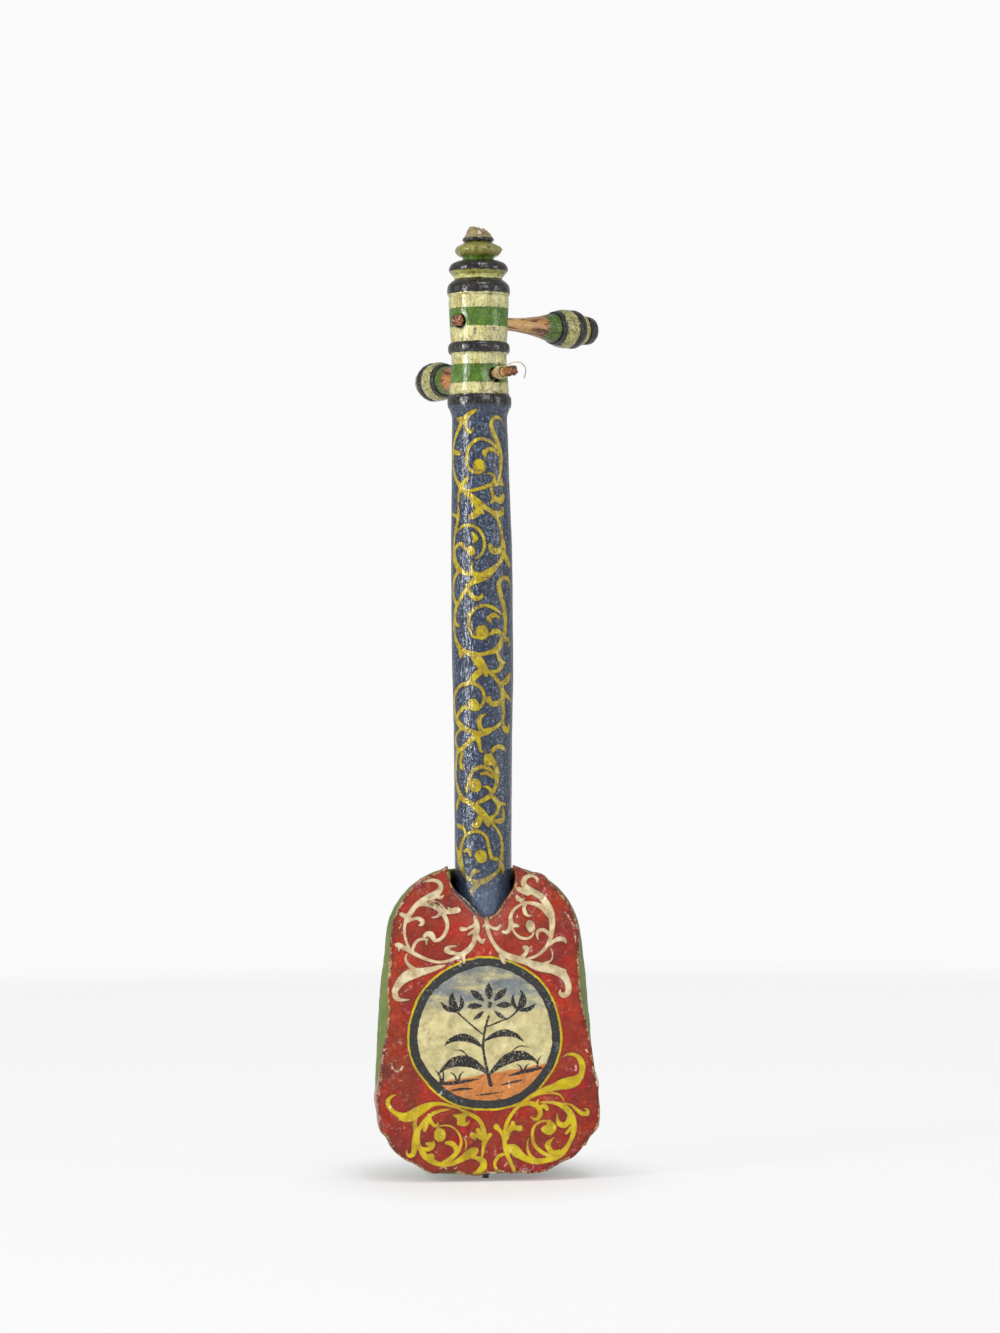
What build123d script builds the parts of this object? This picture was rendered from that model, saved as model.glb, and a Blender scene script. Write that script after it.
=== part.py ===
"""A small two-string spike lute of the guembri kind, as it comes apart on a bench.

One turned stick is head, neck and spike. It lies in a saddle cut in the top wall of a carved
bowl, runs on under the skin and comes out of the bottom wall as a small tail button. The skin
is glued over the bowl's rim, with a notch where the neck dives under it. Two turned pegs pass
right through the head, and the lower one still holds the rest of a gut string.

Millimetres. +Z runs up the neck, -Y is the painted face, +X is the right-hand side of the face.
The origin is the lower end of the tail button, on the neck's axis.
"""

from build123d import *
import os
from math import cos, radians, sin, tan

# ---------------------------------------------------------------- driving dimensions

# stick: neck and spike, from the tail upwards
TAIL_BUTTON_R = 1.9
TAIL_BUTTON_LENGTH = 2.0
TENON_R = 2.6  # the stick's thinner end, in the bowl's bottom wall
TENON_SHOWS = 0.4  # of it below the skin
SPIKE_FOOT_R = 5.5
SPIKE_TOP_R = 9.0
SPIKE_TAPER_LENGTH = 24.0  # from the neck's full radius down to the spike
NECK_UNDER_SKIN = 32.0  # how far the neck keeps its full radius below the bowl's top
NECK_LENGTH = 248.2  # from the bowl's top to the bevel under the lowest ring
NECK_FOOT_R = 15.3
NECK_BELLY_R = 16.9
NECK_BELLY_HEIGHT = 146.0  # where the stick is thickest, above the bowl's top
NECK_TOP_R = 14.9

# turned features of the head, from the neck upwards
LOW_RING_BEVEL = 2.7
LOW_RING_HEIGHT = 6.2
LOW_RING_R = 17.6
LOW_DRUM_HEIGHT = 22.2
LOW_DRUM_FOOT_R = 17.0
LOW_DRUM_WAIST_R = 15.6
LOW_DRUM_WAIST_HEIGHT = 9.0
LOW_DRUM_TOP_R = 15.1
GROOVE_DEPTH = 0.45
GROOVE_HEIGHT = 3.2
MIDDLE_RING_HEIGHT = 6.5
MIDDLE_RING_R = 17.0
HIGH_DRUM_HEIGHT = 26.9
HIGH_DRUM_FOOT_R = 15.5
HIGH_DRUM_TOP_R = 16.5
HIGH_RING_HEIGHT = 8.2
HIGH_RING_R = 17.3
HIGH_RING_TOP_R = 14.2
COVE_HEIGHT = 1.3
COVE_R = 13.1
DISC_UNDER_HEIGHT = 3.6
DISC_UNDER_R = 13.3
DISC_HEIGHT = 5.5
DISC_R = 16.3
DISC_SHOULDER_R = 15.2
DISC_TOP_R = 10.6
WAIST_HEIGHT = 1.8
WAIST_R = 8.6
BEAD_HEIGHT = 8.1
BEAD_R = 12.8
BEAD_TOP_R = 6.7
FINIAL_RIM_HEIGHT = 1.9
FINIAL_RIM_R = 8.6
FINIAL_CONE_HEIGHT = 6.9
FINIAL_TIP_R = 3.1
FINIAL_BREAK_SLANT = 12.0  # degrees, the slope of the broken tip

# carved bowl
BODY_HEIGHT = 166.5
BODY_TOP_HALF = 49.2  # half the width at the upper corners, before they are rounded
BODY_FOOT_HALF = 60.0
SIDE_BULGE = 3.4
TOP_BULGE = 8.0
FOOT_BULGE = 1.2
SHOULDER_R = 40.0
HIP_R = 38.0
RIM_FORWARD = 15.5  # the rim's plane, in front of the neck's axis
RIM_SIDE_INSET = 4.8
RIM_END_INSET = 0.6
WIDEST_BEHIND = 5.0  # the plane where the bowl is widest, behind the neck's axis
TURN_BEHIND = 20.0
TURN_INSET = 2.2
ROUND_BEHIND = 32.0
ROUND_INSET = 9.0
BACK_BEHIND = 38.0
BACK_INSET = 21.0
WALL = 6.5
FLOOR = 6.0
SADDLE_HALF_WIDTH = 18.4
SADDLE_DEPTH = 26.0  # of the wide part, back from the rim's plane
GLUE_GAP = 0.05
TAIL_HOLE_CLEARANCE = 0.15
SPIKE_END_CLEARANCE = 0.6

# skin
SKIN_THICKNESS = 1.2
SKIN_EDGE_R = 0.7
NOTCH_HALF_WIDTH = 17.6
NOTCH_STRAIGHT = 10.0
NOTCH_DEPTH = 26.0
NOTCH_TIP_HALF = 6.0
NOTCH_TIP_RISE = 2.0
SKIRT_UPPER = 2.2  # how far the skin turns back over the side at the shoulders
SKIRT_LOWER = 18.5  # and round the foot
SKIRT_UPPER_FROM = 78.0  # height above the tail where the short skirt ends
SKIRT_LOWER_TO = 40.0
TAIL_CUT_R = 3.4  # hole in the skin round the tenon

# pegs, measured from a peg's nearest point to the head's axis, towards its handle
PEG_CLEARANCE = 0.05
UPPER_PEG_HEIGHT = 12.2  # above the foot of the high drum
UPPER_PEG_ANGLE = 40.0  # degrees from +X, towards +Y
UPPER_PEG_OFFSET = 1.0  # how far the peg's axis passes from the head's axis
UPPER_PEG_TIP = 17.2
LOWER_PEG_HEIGHT = 12.1  # above the foot of the low drum
LOWER_PEG_ANGLE = 117.0
LOWER_PEG_OFFSET = 2.5
LOWER_PEG_TIP = 33.6
LOWER_PEG_PUSHED_IN = 14.2  # further than the upper one
SHANK_TAPER = 0.021  # radius gained per length, from the tip to the handle
SHANK_END = 19.0  # where the straight taper ends, clear of the head
SHANK_R = 3.4  # the upper peg's there
FLARE_MIDDLE = 40.0
FLARE_MIDDLE_R = 5.2
FLARE_END = 55.0
FLARE_END_R = 8.3
HANDLE_RING_WIDTH = 2.4
HANDLE_RING_STEP = 1.0
BULGE_LENGTH = 9.2
BULGE_R = 10.75
BAND_WIDTH = 6.0
BAND_FOOT_R = 10.2
BAND_R = 10.7
BAND_END_R = 9.4
NECKING_LENGTH = 6.0
NECKING_START_R = 9.0
NECKING_END_R = 6.2
KNOB_LENGTH = 6.4
KNOB_R = 7.2
SMALL_NECKING_END_R = 4.4  # the lower peg's end is turned slimmer
SMALL_KNOB_R = 4.6
TIP_SLIT_WIDTH = 0.8
TIP_SLIT_DEPTH = 6.0

# what is left of the gut string
STRING_R = 0.28
STRING_GAP = 0.03
COIL_START = 17.2  # along the lower peg, on the front side of the head
COIL_LENGTH = 5.6
ARC_SHARE = 0.45  # of the shorter run that a bend's arc takes up
# the free end's route past the coil: along the peg, sideways, upwards
STRING_ROUTE = [
    (25.6, 0.0, 3.12),
    (28.4, 0.3, 3.60),
    (31.2, 0.0, 4.15),
    (33.9, -0.6, 4.45),
    (36.4, -1.8, 4.20),
    (38.1, -3.3, 2.90),
    (38.7, -4.4, 0.50),
    (38.1, -4.6, -2.10),
    (37.1, -4.0, -4.50),
]

# ---------------------------------------------------------------- places worked out from them

body_foot = TAIL_BUTTON_LENGTH + TENON_SHOWS + SKIN_THICKNESS
body_top = body_foot + BODY_HEIGHT
neck_full_until = body_top - NECK_UNDER_SKIN
spike_top = neck_full_until - SPIKE_TAPER_LENGTH
spike_foot = body_foot + WALL + SPIKE_END_CLEARANCE
bevel = body_top + NECK_LENGTH
low_ring = bevel + LOW_RING_BEVEL
low_drum = low_ring + LOW_RING_HEIGHT
middle_ring = low_drum + LOW_DRUM_HEIGHT
high_drum = middle_ring + MIDDLE_RING_HEIGHT
high_ring = high_drum + HIGH_DRUM_HEIGHT
cove = high_ring + HIGH_RING_HEIGHT
disc_under = cove + COVE_HEIGHT
disc = disc_under + DISC_UNDER_HEIGHT
waist = disc + DISC_HEIGHT
bead = waist + WAIST_HEIGHT
finial = bead + BEAD_HEIGHT
finial_rim = finial + FINIAL_RIM_HEIGHT
finial_tip = finial_rim + FINIAL_CONE_HEIGHT


class PegPlace:
    """Where a peg lies: the point of its axis that is nearest the head's, and its directions."""

    def __init__(self, height, degrees, offset):
        turn = radians(degrees)
        self.along = Vector(cos(turn), sin(turn), 0)
        self.side = Vector(-sin(turn), cos(turn), 0)
        self.origin = self.side * -offset + Vector(0, 0, height)
        self.axis = Axis(self.origin, self.along)
        self.plane = Plane(self.origin, x_dir=self.along, z_dir=-self.side)

    def at(self, towards_tip, sideways, up):
        """A point by its distance towards the peg's tip, sideways and upwards."""
        return self.origin - self.along * towards_tip + self.side * sideways + Vector(0, 0, up)


upper_place = PegPlace(high_drum + UPPER_PEG_HEIGHT, UPPER_PEG_ANGLE, UPPER_PEG_OFFSET)
lower_place = PegPlace(low_drum + LOWER_PEG_HEIGHT, LOWER_PEG_ANGLE, LOWER_PEG_OFFSET)


def shank_r(at, pushed_in):
    """The radius of a peg's tapered shank, at a distance towards its handle."""
    return SHANK_R + SHANK_TAPER * (at + pushed_in - SHANK_END)


def tapered_hole(pushed_in):
    """Half the section of a peg's hole, in the peg's plane."""
    reach = max(LOW_RING_R, HIGH_RING_R) + LOWER_PEG_OFFSET
    tip_side, handle_side = (shank_r(at, pushed_in) + PEG_CLEARANCE for at in (-reach, reach))
    with BuildSketch(mode=Mode.PRIVATE) as half:
        Polygon((-reach, 0), (reach, 0), (reach, handle_side), (-reach, tip_side), align=None)
    return half.sketch


# ---------------------------------------------------------------- neck: head, neck and spike

with BuildPart() as neck:
    with BuildSketch(Plane.XZ) as turned:
        with BuildLine():
            # tail button and spike
            Polyline(
                (0, 0),
                (TAIL_BUTTON_R, 0),
                (TAIL_BUTTON_R, TAIL_BUTTON_LENGTH),
                (TENON_R, TAIL_BUTTON_LENGTH),
                (TENON_R, spike_foot),
                (SPIKE_FOOT_R, spike_foot),
                (SPIKE_TOP_R, spike_top),
                (NECK_FOOT_R, neck_full_until),
                (NECK_FOOT_R, body_top),
            )
            # neck, swelling a little towards its middle
            Spline(
                (NECK_FOOT_R, body_top),
                (NECK_BELLY_R, body_top + NECK_BELLY_HEIGHT),
                (NECK_TOP_R, bevel),
            )
            # lowest ring
            Line((NECK_TOP_R, bevel), (LOW_DRUM_FOOT_R, low_ring))
            ThreePointArc(
                (LOW_DRUM_FOOT_R, low_ring),
                (LOW_RING_R, low_ring + LOW_RING_HEIGHT / 2),
                (LOW_DRUM_FOOT_R, low_drum),
            )
            # low drum, with one groove and a waist
            Polyline(
                (LOW_DRUM_FOOT_R, low_drum),
                (LOW_DRUM_FOOT_R, low_drum + GROOVE_HEIGHT),
                (LOW_DRUM_FOOT_R - GROOVE_DEPTH, low_drum + GROOVE_HEIGHT + GROOVE_DEPTH),
            )
            Spline(
                (LOW_DRUM_FOOT_R - GROOVE_DEPTH, low_drum + GROOVE_HEIGHT + GROOVE_DEPTH),
                (LOW_DRUM_WAIST_R, low_drum + LOW_DRUM_WAIST_HEIGHT),
                (LOW_DRUM_TOP_R, middle_ring),
            )
            # middle ring and high drum
            ThreePointArc(
                (LOW_DRUM_TOP_R, middle_ring),
                (MIDDLE_RING_R, middle_ring + MIDDLE_RING_HEIGHT / 2),
                (HIGH_DRUM_FOOT_R, high_drum),
            )
            Line((HIGH_DRUM_FOOT_R, high_drum), (HIGH_DRUM_TOP_R, high_ring))
            # high ring and cove
            ThreePointArc(
                (HIGH_DRUM_TOP_R, high_ring),
                (HIGH_RING_R, high_ring + HIGH_RING_HEIGHT / 3),
                (HIGH_RING_TOP_R, cove),
            )
            Polyline(
                (HIGH_RING_TOP_R, cove),
                (COVE_R, cove),
                (DISC_UNDER_R, disc_under),
                (DISC_R, disc),
            )
            # disc, waist and bead
            ThreePointArc(
                (DISC_R, disc),
                (DISC_SHOULDER_R, disc + DISC_HEIGHT / 2),
                (DISC_TOP_R, waist),
            )
            Polyline((DISC_TOP_R, waist), (WAIST_R, waist), (WAIST_R, bead))
            ThreePointArc(
                (WAIST_R, bead),
                (BEAD_R, bead + BEAD_HEIGHT / 2),
                (BEAD_TOP_R, finial),
            )
            # finial
            Polyline(
                (BEAD_TOP_R, finial),
                (FINIAL_RIM_R, finial_rim),
                (FINIAL_TIP_R, finial_tip),
                (0, finial_tip),
                (0, 0),
            )
        make_face()
    revolve(axis=Axis.Z)
    # the finial's tip is broken off at a slant
    lower_edge = Plane.XY.offset(finial_tip - FINIAL_TIP_R * tan(radians(FINIAL_BREAK_SLANT)))
    with BuildSketch(lower_edge.rotated((0, -FINIAL_BREAK_SLANT, 0))):
        Circle(2 * FINIAL_RIM_R)
    extrude(amount=FINIAL_CONE_HEIGHT, mode=Mode.SUBTRACT)
    # tapered holes for the pegs
    for place, pushed_in in ((upper_place, 0), (lower_place, LOWER_PEG_PUSHED_IN)):
        with BuildSketch(place.plane):
            add(tapered_hole(pushed_in))
        revolve(axis=place.axis, mode=Mode.SUBTRACT)

# ---------------------------------------------------------------- bowl


def body_outline(grown, side_inset, end_inset):
    """The body's outline, as it is inset or grown: bulging edges with large rounded corners."""
    top_half = BODY_TOP_HALF - side_inset + grown
    foot_half = BODY_FOOT_HALF - side_inset + grown
    high = body_top - TOP_BULGE - end_inset + grown
    low = body_foot + FOOT_BULGE + end_inset - grown
    inset = (side_inset + end_inset) / 2 - grown
    with BuildSketch(mode=Mode.PRIVATE) as outline:
        with BuildLine():
            SagittaArc((-foot_half, low), (-top_half, high), SIDE_BULGE)
            SagittaArc((-top_half, high), (top_half, high), TOP_BULGE)
            SagittaArc((top_half, high), (foot_half, low), SIDE_BULGE)
            SagittaArc((foot_half, low), (-foot_half, low), FOOT_BULGE)
        make_face()
        fillet(outline.vertices().group_by(Axis.Y)[0], HIP_R - inset)
        fillet(outline.vertices().group_by(Axis.Y)[-1], SHOULDER_R - inset)
    return outline.sketch


def body_sections(grown, forward, planes):
    """The outer sections of the body from the rim's plane backwards, each in its own plane."""
    rim = (-RIM_FORWARD - forward, RIM_SIDE_INSET, RIM_END_INSET)
    return [
        Plane.XZ.offset(-behind) * body_outline(grown, side_inset, end_inset)
        for behind, side_inset, end_inset in (rim, *planes)
    ]


outer_planes = (
    (WIDEST_BEHIND, 0, 0),
    (TURN_BEHIND, TURN_INSET, TURN_INSET),
    (ROUND_BEHIND, ROUND_INSET, ROUND_INSET),
    (BACK_BEHIND, BACK_INSET, BACK_INSET),
)
cavity_planes = (
    (WIDEST_BEHIND, WALL, WALL),
    (TURN_BEHIND, TURN_INSET + WALL, TURN_INSET + WALL),
    (BACK_BEHIND - FLOOR, BACK_INSET, BACK_INSET),
)

with BuildPart() as bowl:
    loft(body_sections(0, 0, outer_planes))
    loft(
        [
            Plane.XZ.offset(-behind) * body_outline(0, side_inset, end_inset)
            for behind, side_inset, end_inset in (
                (-RIM_FORWARD, RIM_SIDE_INSET + WALL, RIM_END_INSET + WALL),
                *cavity_planes,
            )
        ],
        mode=Mode.SUBTRACT,
    )
    # the saddle that the neck lies in, wide at the rim and close round the neck behind it
    saddle_foot = body_top - 2 * WALL
    with BuildSketch(Plane.XY.offset(saddle_foot)):
        Circle(NECK_FOOT_R + GLUE_GAP)
        with Locations((0, -RIM_FORWARD + SADDLE_DEPTH / 2)):
            Rectangle(2 * SADDLE_HALF_WIDTH, SADDLE_DEPTH)
    extrude(amount=3 * WALL, mode=Mode.SUBTRACT)
    # the hole for the stick's end
    with BuildSketch(Plane.XY):
        Circle(TENON_R + TAIL_HOLE_CLEARANCE)
    extrude(amount=spike_foot + WALL, mode=Mode.SUBTRACT)

# ---------------------------------------------------------------- skin

with BuildPart() as skin_face:
    loft(body_sections(SKIN_THICKNESS, SKIN_THICKNESS, outer_planes[:2]))
    fillet(skin_face.faces().sort_by(Axis.Y)[0].edges(), SKIN_EDGE_R)
    loft(body_sections(GLUE_GAP, 0, outer_planes), mode=Mode.SUBTRACT)
    # the trimmed edge of the skirt, short at the shoulders and long round the foot
    behind = TURN_BEHIND + SKIN_THICKNESS
    beyond = 2 * WALL
    with BuildSketch(Plane.YZ) as trimmed:
        Polygon(
            (-RIM_FORWARD + SKIRT_UPPER, body_top + beyond),
            (-RIM_FORWARD + SKIRT_UPPER, SKIRT_UPPER_FROM),
            (-RIM_FORWARD + SKIRT_LOWER, SKIRT_LOWER_TO),
            (-RIM_FORWARD + SKIRT_LOWER, -beyond),
            (behind, -beyond),
            (behind, body_top + beyond),
            align=None,
        )
    extrude(amount=2 * BODY_FOOT_HALF, both=True, mode=Mode.SUBTRACT)
    # the notch where the neck dives under
    with BuildSketch(Plane.XZ.offset(-behind)):
        Polygon(
            (-NOTCH_HALF_WIDTH, body_top + beyond),
            (-NOTCH_HALF_WIDTH, body_top - NOTCH_STRAIGHT),
            (-NOTCH_TIP_HALF, body_top - NOTCH_DEPTH + NOTCH_TIP_RISE),
            (0, body_top - NOTCH_DEPTH),
            (NOTCH_TIP_HALF, body_top - NOTCH_DEPTH + NOTCH_TIP_RISE),
            (NOTCH_HALF_WIDTH, body_top - NOTCH_STRAIGHT),
            (NOTCH_HALF_WIDTH, body_top + beyond),
            align=None,
        )
    extrude(amount=behind + 2 * RIM_FORWARD, mode=Mode.SUBTRACT)
    # the hole round the tenon
    with BuildSketch(Plane.XY):
        Circle(TAIL_CUT_R)
    extrude(amount=spike_foot, mode=Mode.SUBTRACT)

# ---------------------------------------------------------------- pegs


def peg_half(tip, pushed_in, necking_end_r, knob_r):
    """Half the section of a turned peg, in the peg's plane."""
    flare_end = FLARE_END - pushed_in
    bulge = flare_end + HANDLE_RING_WIDTH
    band = bulge + BULGE_LENGTH
    necking = band + BAND_WIDTH
    knob = necking + NECKING_LENGTH
    end = knob + KNOB_LENGTH
    with BuildSketch(mode=Mode.PRIVATE) as half:
        with BuildLine():
            shank_end = (SHANK_END, shank_r(SHANK_END, pushed_in))
            Polyline((-tip, 0), (-tip, shank_r(-tip, pushed_in)), shank_end)
            Spline(
                shank_end,
                (FLARE_MIDDLE - pushed_in, FLARE_MIDDLE_R),
                (flare_end, FLARE_END_R),
            )
            Line((flare_end, FLARE_END_R), (bulge, FLARE_END_R + HANDLE_RING_STEP))
            ThreePointArc(
                (bulge, FLARE_END_R + HANDLE_RING_STEP),
                (bulge + BULGE_LENGTH / 2, BULGE_R),
                (band, BAND_FOOT_R),
            )
            ThreePointArc(
                (band, BAND_FOOT_R),
                (band + BAND_WIDTH / 2, BAND_R),
                (necking, BAND_END_R),
            )
            Line((necking, BAND_END_R), (necking, NECKING_START_R))
            Line((necking, NECKING_START_R), (knob, necking_end_r))
            Line((knob, necking_end_r), (knob, knob_r))
            Spline((knob, knob_r), (end, 0), tangents=[(1, 0), (0, -1)])
            Line((end, 0), (-tip, 0))
        make_face()
    return half.sketch


with BuildPart() as upper_peg:
    with BuildSketch(upper_place.plane):
        add(peg_half(UPPER_PEG_TIP, 0, NECKING_END_R, KNOB_R))
    revolve(axis=upper_place.axis)

with BuildPart() as lower_peg:
    with BuildSketch(lower_place.plane):
        add(peg_half(LOWER_PEG_TIP, LOWER_PEG_PUSHED_IN, SMALL_NECKING_END_R, SMALL_KNOB_R))
    revolve(axis=lower_place.axis)
    # the slit that once held the string's end
    with BuildSketch(lower_place.plane):
        with Locations((-LOWER_PEG_TIP, 0)):
            Rectangle(2 * TIP_SLIT_DEPTH, TIP_SLIT_WIDTH)
    extrude(amount=2 * SHANK_R, both=True, mode=Mode.SUBTRACT)

# ---------------------------------------------------------------- string

coil_end = COIL_START + COIL_LENGTH

with BuildPart() as string_coil:
    with BuildSketch(lower_place.plane):
        inner = [shank_r(-at, LOWER_PEG_PUSHED_IN) + STRING_GAP for at in (COIL_START, coil_end)]
        Polygon(
            (-COIL_START, inner[0]),
            (-coil_end, inner[1]),
            (-coil_end, inner[1] + 2 * STRING_R),
            (-COIL_START, inner[0] + 2 * STRING_R),
            align=None,
        )
    revolve(axis=lower_place.axis)

with BuildPart() as string_end:
    start = (coil_end, 0.0, shank_r(-coil_end, LOWER_PEG_PUSHED_IN) + STRING_GAP + STRING_R)
    route = [lower_place.at(*point) for point in (start, *STRING_ROUTE)]
    radii = []
    for before, here, after in zip(route, route[1:], route[2:]):
        half_turn = radians((here - before).get_angle(after - here)) / 2
        radii.append(ARC_SHARE * min((here - before).length, (after - here).length) / tan(half_turn))
    with BuildLine() as free_end:
        FilletPolyline(*route, radius=radii)
    with BuildSketch(Plane(route[0], z_dir=route[1] - route[0])):
        Circle(STRING_R)
    sweep(path=free_end.wire())

# ---------------------------------------------------------------- output

os.makedirs("parts", exist_ok=True)
for name, piece in (
    ("neck", neck),
    ("bowl", bowl),
    ("skin_face", skin_face),
    ("upper_peg", upper_peg),
    ("lower_peg", lower_peg),
    ("string_coil", string_coil),
    ("string_end", string_end),
):
    piece.part.label = name
    export_step(piece.part, f"parts/{name}.step")
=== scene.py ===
"""A painted two-string spike lute of the guembri kind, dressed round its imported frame.

Millimetres in the tables, metres in the meshes. +Z runs up the neck and -Y is the painted face.
"""

from math import cos, pi, radians, sin, sqrt, tau

import bpy
import numpy as np
from mathutils import Matrix, Vector
from mathutils.geometry import delaunay_2d_cdt


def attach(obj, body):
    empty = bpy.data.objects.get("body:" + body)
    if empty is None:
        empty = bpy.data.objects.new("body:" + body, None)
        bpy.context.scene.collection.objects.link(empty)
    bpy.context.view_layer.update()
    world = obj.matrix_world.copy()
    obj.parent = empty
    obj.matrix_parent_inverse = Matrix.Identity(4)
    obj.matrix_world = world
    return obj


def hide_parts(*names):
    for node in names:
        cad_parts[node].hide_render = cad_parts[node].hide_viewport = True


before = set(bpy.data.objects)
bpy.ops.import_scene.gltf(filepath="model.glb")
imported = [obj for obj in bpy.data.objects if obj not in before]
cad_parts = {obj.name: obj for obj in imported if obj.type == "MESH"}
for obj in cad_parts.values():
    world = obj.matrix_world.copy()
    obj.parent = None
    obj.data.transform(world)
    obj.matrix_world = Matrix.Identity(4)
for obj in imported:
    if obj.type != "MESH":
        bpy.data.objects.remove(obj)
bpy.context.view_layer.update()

bl_info = {
    "name": "Painted spike lute",
    "version": (1, 0, 0),
    "blender": (4, 5, 0),
    "location": "3D View > Sidebar > Lute",
    "description": "Builds a painted two-string spike lute round its construction frame",
    "category": "Object",
}

MM = 0.001

RIPPLE_WAVES = 7
RIPPLE_PEAK = 1.6
# points closer than this are merged, in mm
WELD_TURNED, WELD_BOWL, WELD_SKIN = 0.02, 0.005, 0.002

# ---------------------------------------------------------------- turned shapes, in mm

# the stick, as runs of (radius, height): smooth inside a run, with a corner between two runs
TAIL_AND_SPIKE = (
    ((0, 0), (1.9, 0)),
    ((1.9, 0), (1.9, 2)),
    ((1.9, 2), (2.6, 2)),
    ((2.6, 2), (2.6, 10.7)),
    ((2.6, 10.7), (5.5, 10.7)),
    ((5.5, 10.7), (9, 114.1)),
    ((9, 114.1), (15.25, 138.1)),
)
NECK = (
    ((15.25, 138.1), (15.3, 168), (15.55, 171.5), (15.75, 217.5), (16.4, 261), (16.75, 294),
     (16.9, 316), (16.7, 338), (15.75, 387), (15.05, 412), (15.2, 416.6)),
)
HEAD = (
    ((15.2, 416.6), (16.5, 420.4)),
    ((16.5, 420.4), (17.3, 421.6), (17.55, 424), (17.3, 426.6), (16.5, 427.4)),
    ((16.5, 427.4), (16.35, 428.6)),
    ((16.35, 428.6), (15.95, 429.2), (16.2, 430)),
    ((16.2, 430), (15.9, 433), (15.45, 438), (15.2, 443.5), (15.05, 449.9)),
    ((15.05, 449.9), (16.4, 450.9), (16.95, 453.2), (16.5, 455.6), (15.6, 456.4)),
    ((15.6, 456.4), (15.3, 457.6), (15.8, 463), (16.1, 470), (16.45, 478), (16.3, 481.9)),
    ((16.3, 481.9), (17, 482.8), (17.25, 485.2), (16.6, 488), (14.6, 490.2)),
    ((14.6, 490.2), (13.2, 491)),
    ((13.2, 491), (13.1, 491.9), (13.4, 492.6)),
    ((13.4, 492.6), (14.9, 494.4), (15.8, 495.4), (16.2, 496.4), (15.9, 498), (14.4, 500),
     (11.4, 501.3)),
    ((11.4, 501.3), (9, 501.6)),
    ((9, 501.6), (8.5, 502.6), (9, 503.6)),
    ((9, 503.6), (11.2, 504.6), (12.5, 506.2), (12.6, 507.6), (11.2, 509.4), (8.4, 511)),
    ((8.4, 511), (6.9, 511.5)),
    ((6.9, 511.5), (8.1, 512.1), (8.55, 513), (8.2, 513.9)),
    ((8.2, 513.9), (7, 515.6), (6.2, 517.4), (5.2, 519), (4.1, 519.9)),
    ((4.1, 519.9), (0, 519.7)),
)
HEAD_FOOT = 416.6
NECK_PAINT, HEAD_PAINT = 138.0, 421.0  # from where the neck and the head are painted
BAND_EDGES = (428.4, 434.6, 444.0, 457.6, 463.2, 474.2, 482.2, 493.4)
NECK_BOW = 0.6  # how far the neck bows to the right of a straight line
BOW_FROM = 170.0
WAVES_FROM, WAVES_TO = 140, 170  # where the neck's waves set in above the skin
STICK_COLUMNS = 148
SPIKE_ROW, NECK_ROW, HEAD_ROW = 12.0, 0.8, 0.5  # lengths of the mesh's rows
# hand work on the stick, as waves: (depth, length, how far drawn out upwards, seed)
NECK_WAVES = ((0.16, 14, 0.35, 1), (0.07, 4, 0.3, 2))
HEAD_WAVES = ((0.12, 9, 1, 3),)
STICK_KNOCKS = (1.1, 5, 1.2, 4)
KNOCKS_FROM = 0.75  # which share of the knocks' waves is flat
CROWN_HEIGHT, CROWN_REACH, CROWN_DEPTH, CROWN_NOTCHES = 508.9, 0.8, 0.28, 34
BEAD_KNOT, KNOT_REACH, KNOT_HEIGHT = (11.2, -5.0, 507.4), 2.0, 1.3
BROKEN_FROM, BROKEN_OVER, BROKEN_SLOPE = 516.5, 3.0, 0.22
BROKEN_EDGE = -2.5  # where the slope of the broken tip starts, across
BROKEN_WAVES = ((0.5, 2.2, 1, 5),)
SCROLL_R = 16.0  # the radius at which the neck's scrolls are measured round it
HOLE_GAP = 0.95  # how much wider the worn mouth of a peg hole is than the peg
HOLE_SOFT = 0.35  # over how much it drops to its depth
HOLE_WAVES = ((0.35, 5, 1, 6),)
HOLE_DEPTH = 2.6

# a peg, as runs of (radius, distance from the head's axis towards the handle)
PEG_HANDLE = (
    ((3.4, 19), (3.75, 26), (4.3, 32), (5, 38.5), (5.75, 43.6), (7.3, 51), (8.2, 54.8)),
    ((8.2, 54.8), (9, 55.2), (9.35, 56.2), (9.2, 57.2)),
    ((9.2, 57.2), (10.1, 59), (10.7, 62), (10.75, 64.4), (10.4, 66.4)),
    ((10.4, 66.4), (10.2, 66.8)),
    ((10.2, 66.8), (10.75, 68.4), (10.7, 70.8), (9.9, 72.6)),
    ((9.9, 72.6), (9.1, 72.9), (9.2, 73.8)),
    ((9.2, 73.8), (8.6, 76.2), (7.6, 77.8)),
)
LONG_KNOB = (
    ((7.6, 77.8), (6.6, 78.1), (6.5, 78.5)),
    ((6.5, 78.5), (7.8, 78.9), (8.05, 80.6), (7.3, 83.8), (4.6, 85.7), (0, 86.1)),
)
SHORT_KNOB = (
    ((7.6, 77.8), (4.5, 78.2), (4.4, 78.8)),
    ((4.4, 78.8), (4.6, 79.6), (4.4, 81.2), (3.2, 83.4), (0, 84.9)),
)
PEG_COLUMNS = 96
PEG_ROW = 0.45
SHANK_TAPER = 0.021
SHANK_END = 19.0
SHANK_R = 3.4
PEG_WAVES = ((0.10, 7, 0.3, 0), (0.10, 2.6, 0.12, 1))  # seeds count from the peg's own
PEG_KNOCKS = (0.8, 4, 1, 3)
PEG_KNOCKS_FROM = 0.8
PEG_CARVED_FROM, PEG_KNOCKED_FROM = 18, 30  # how far from the head's axis hand work shows
BATTER_WAVES = ((0.42, 2.6, 0.45, 51),)
BATTER_END_WAVES = ((0.5, 2.0, 0, 52),)
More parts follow.
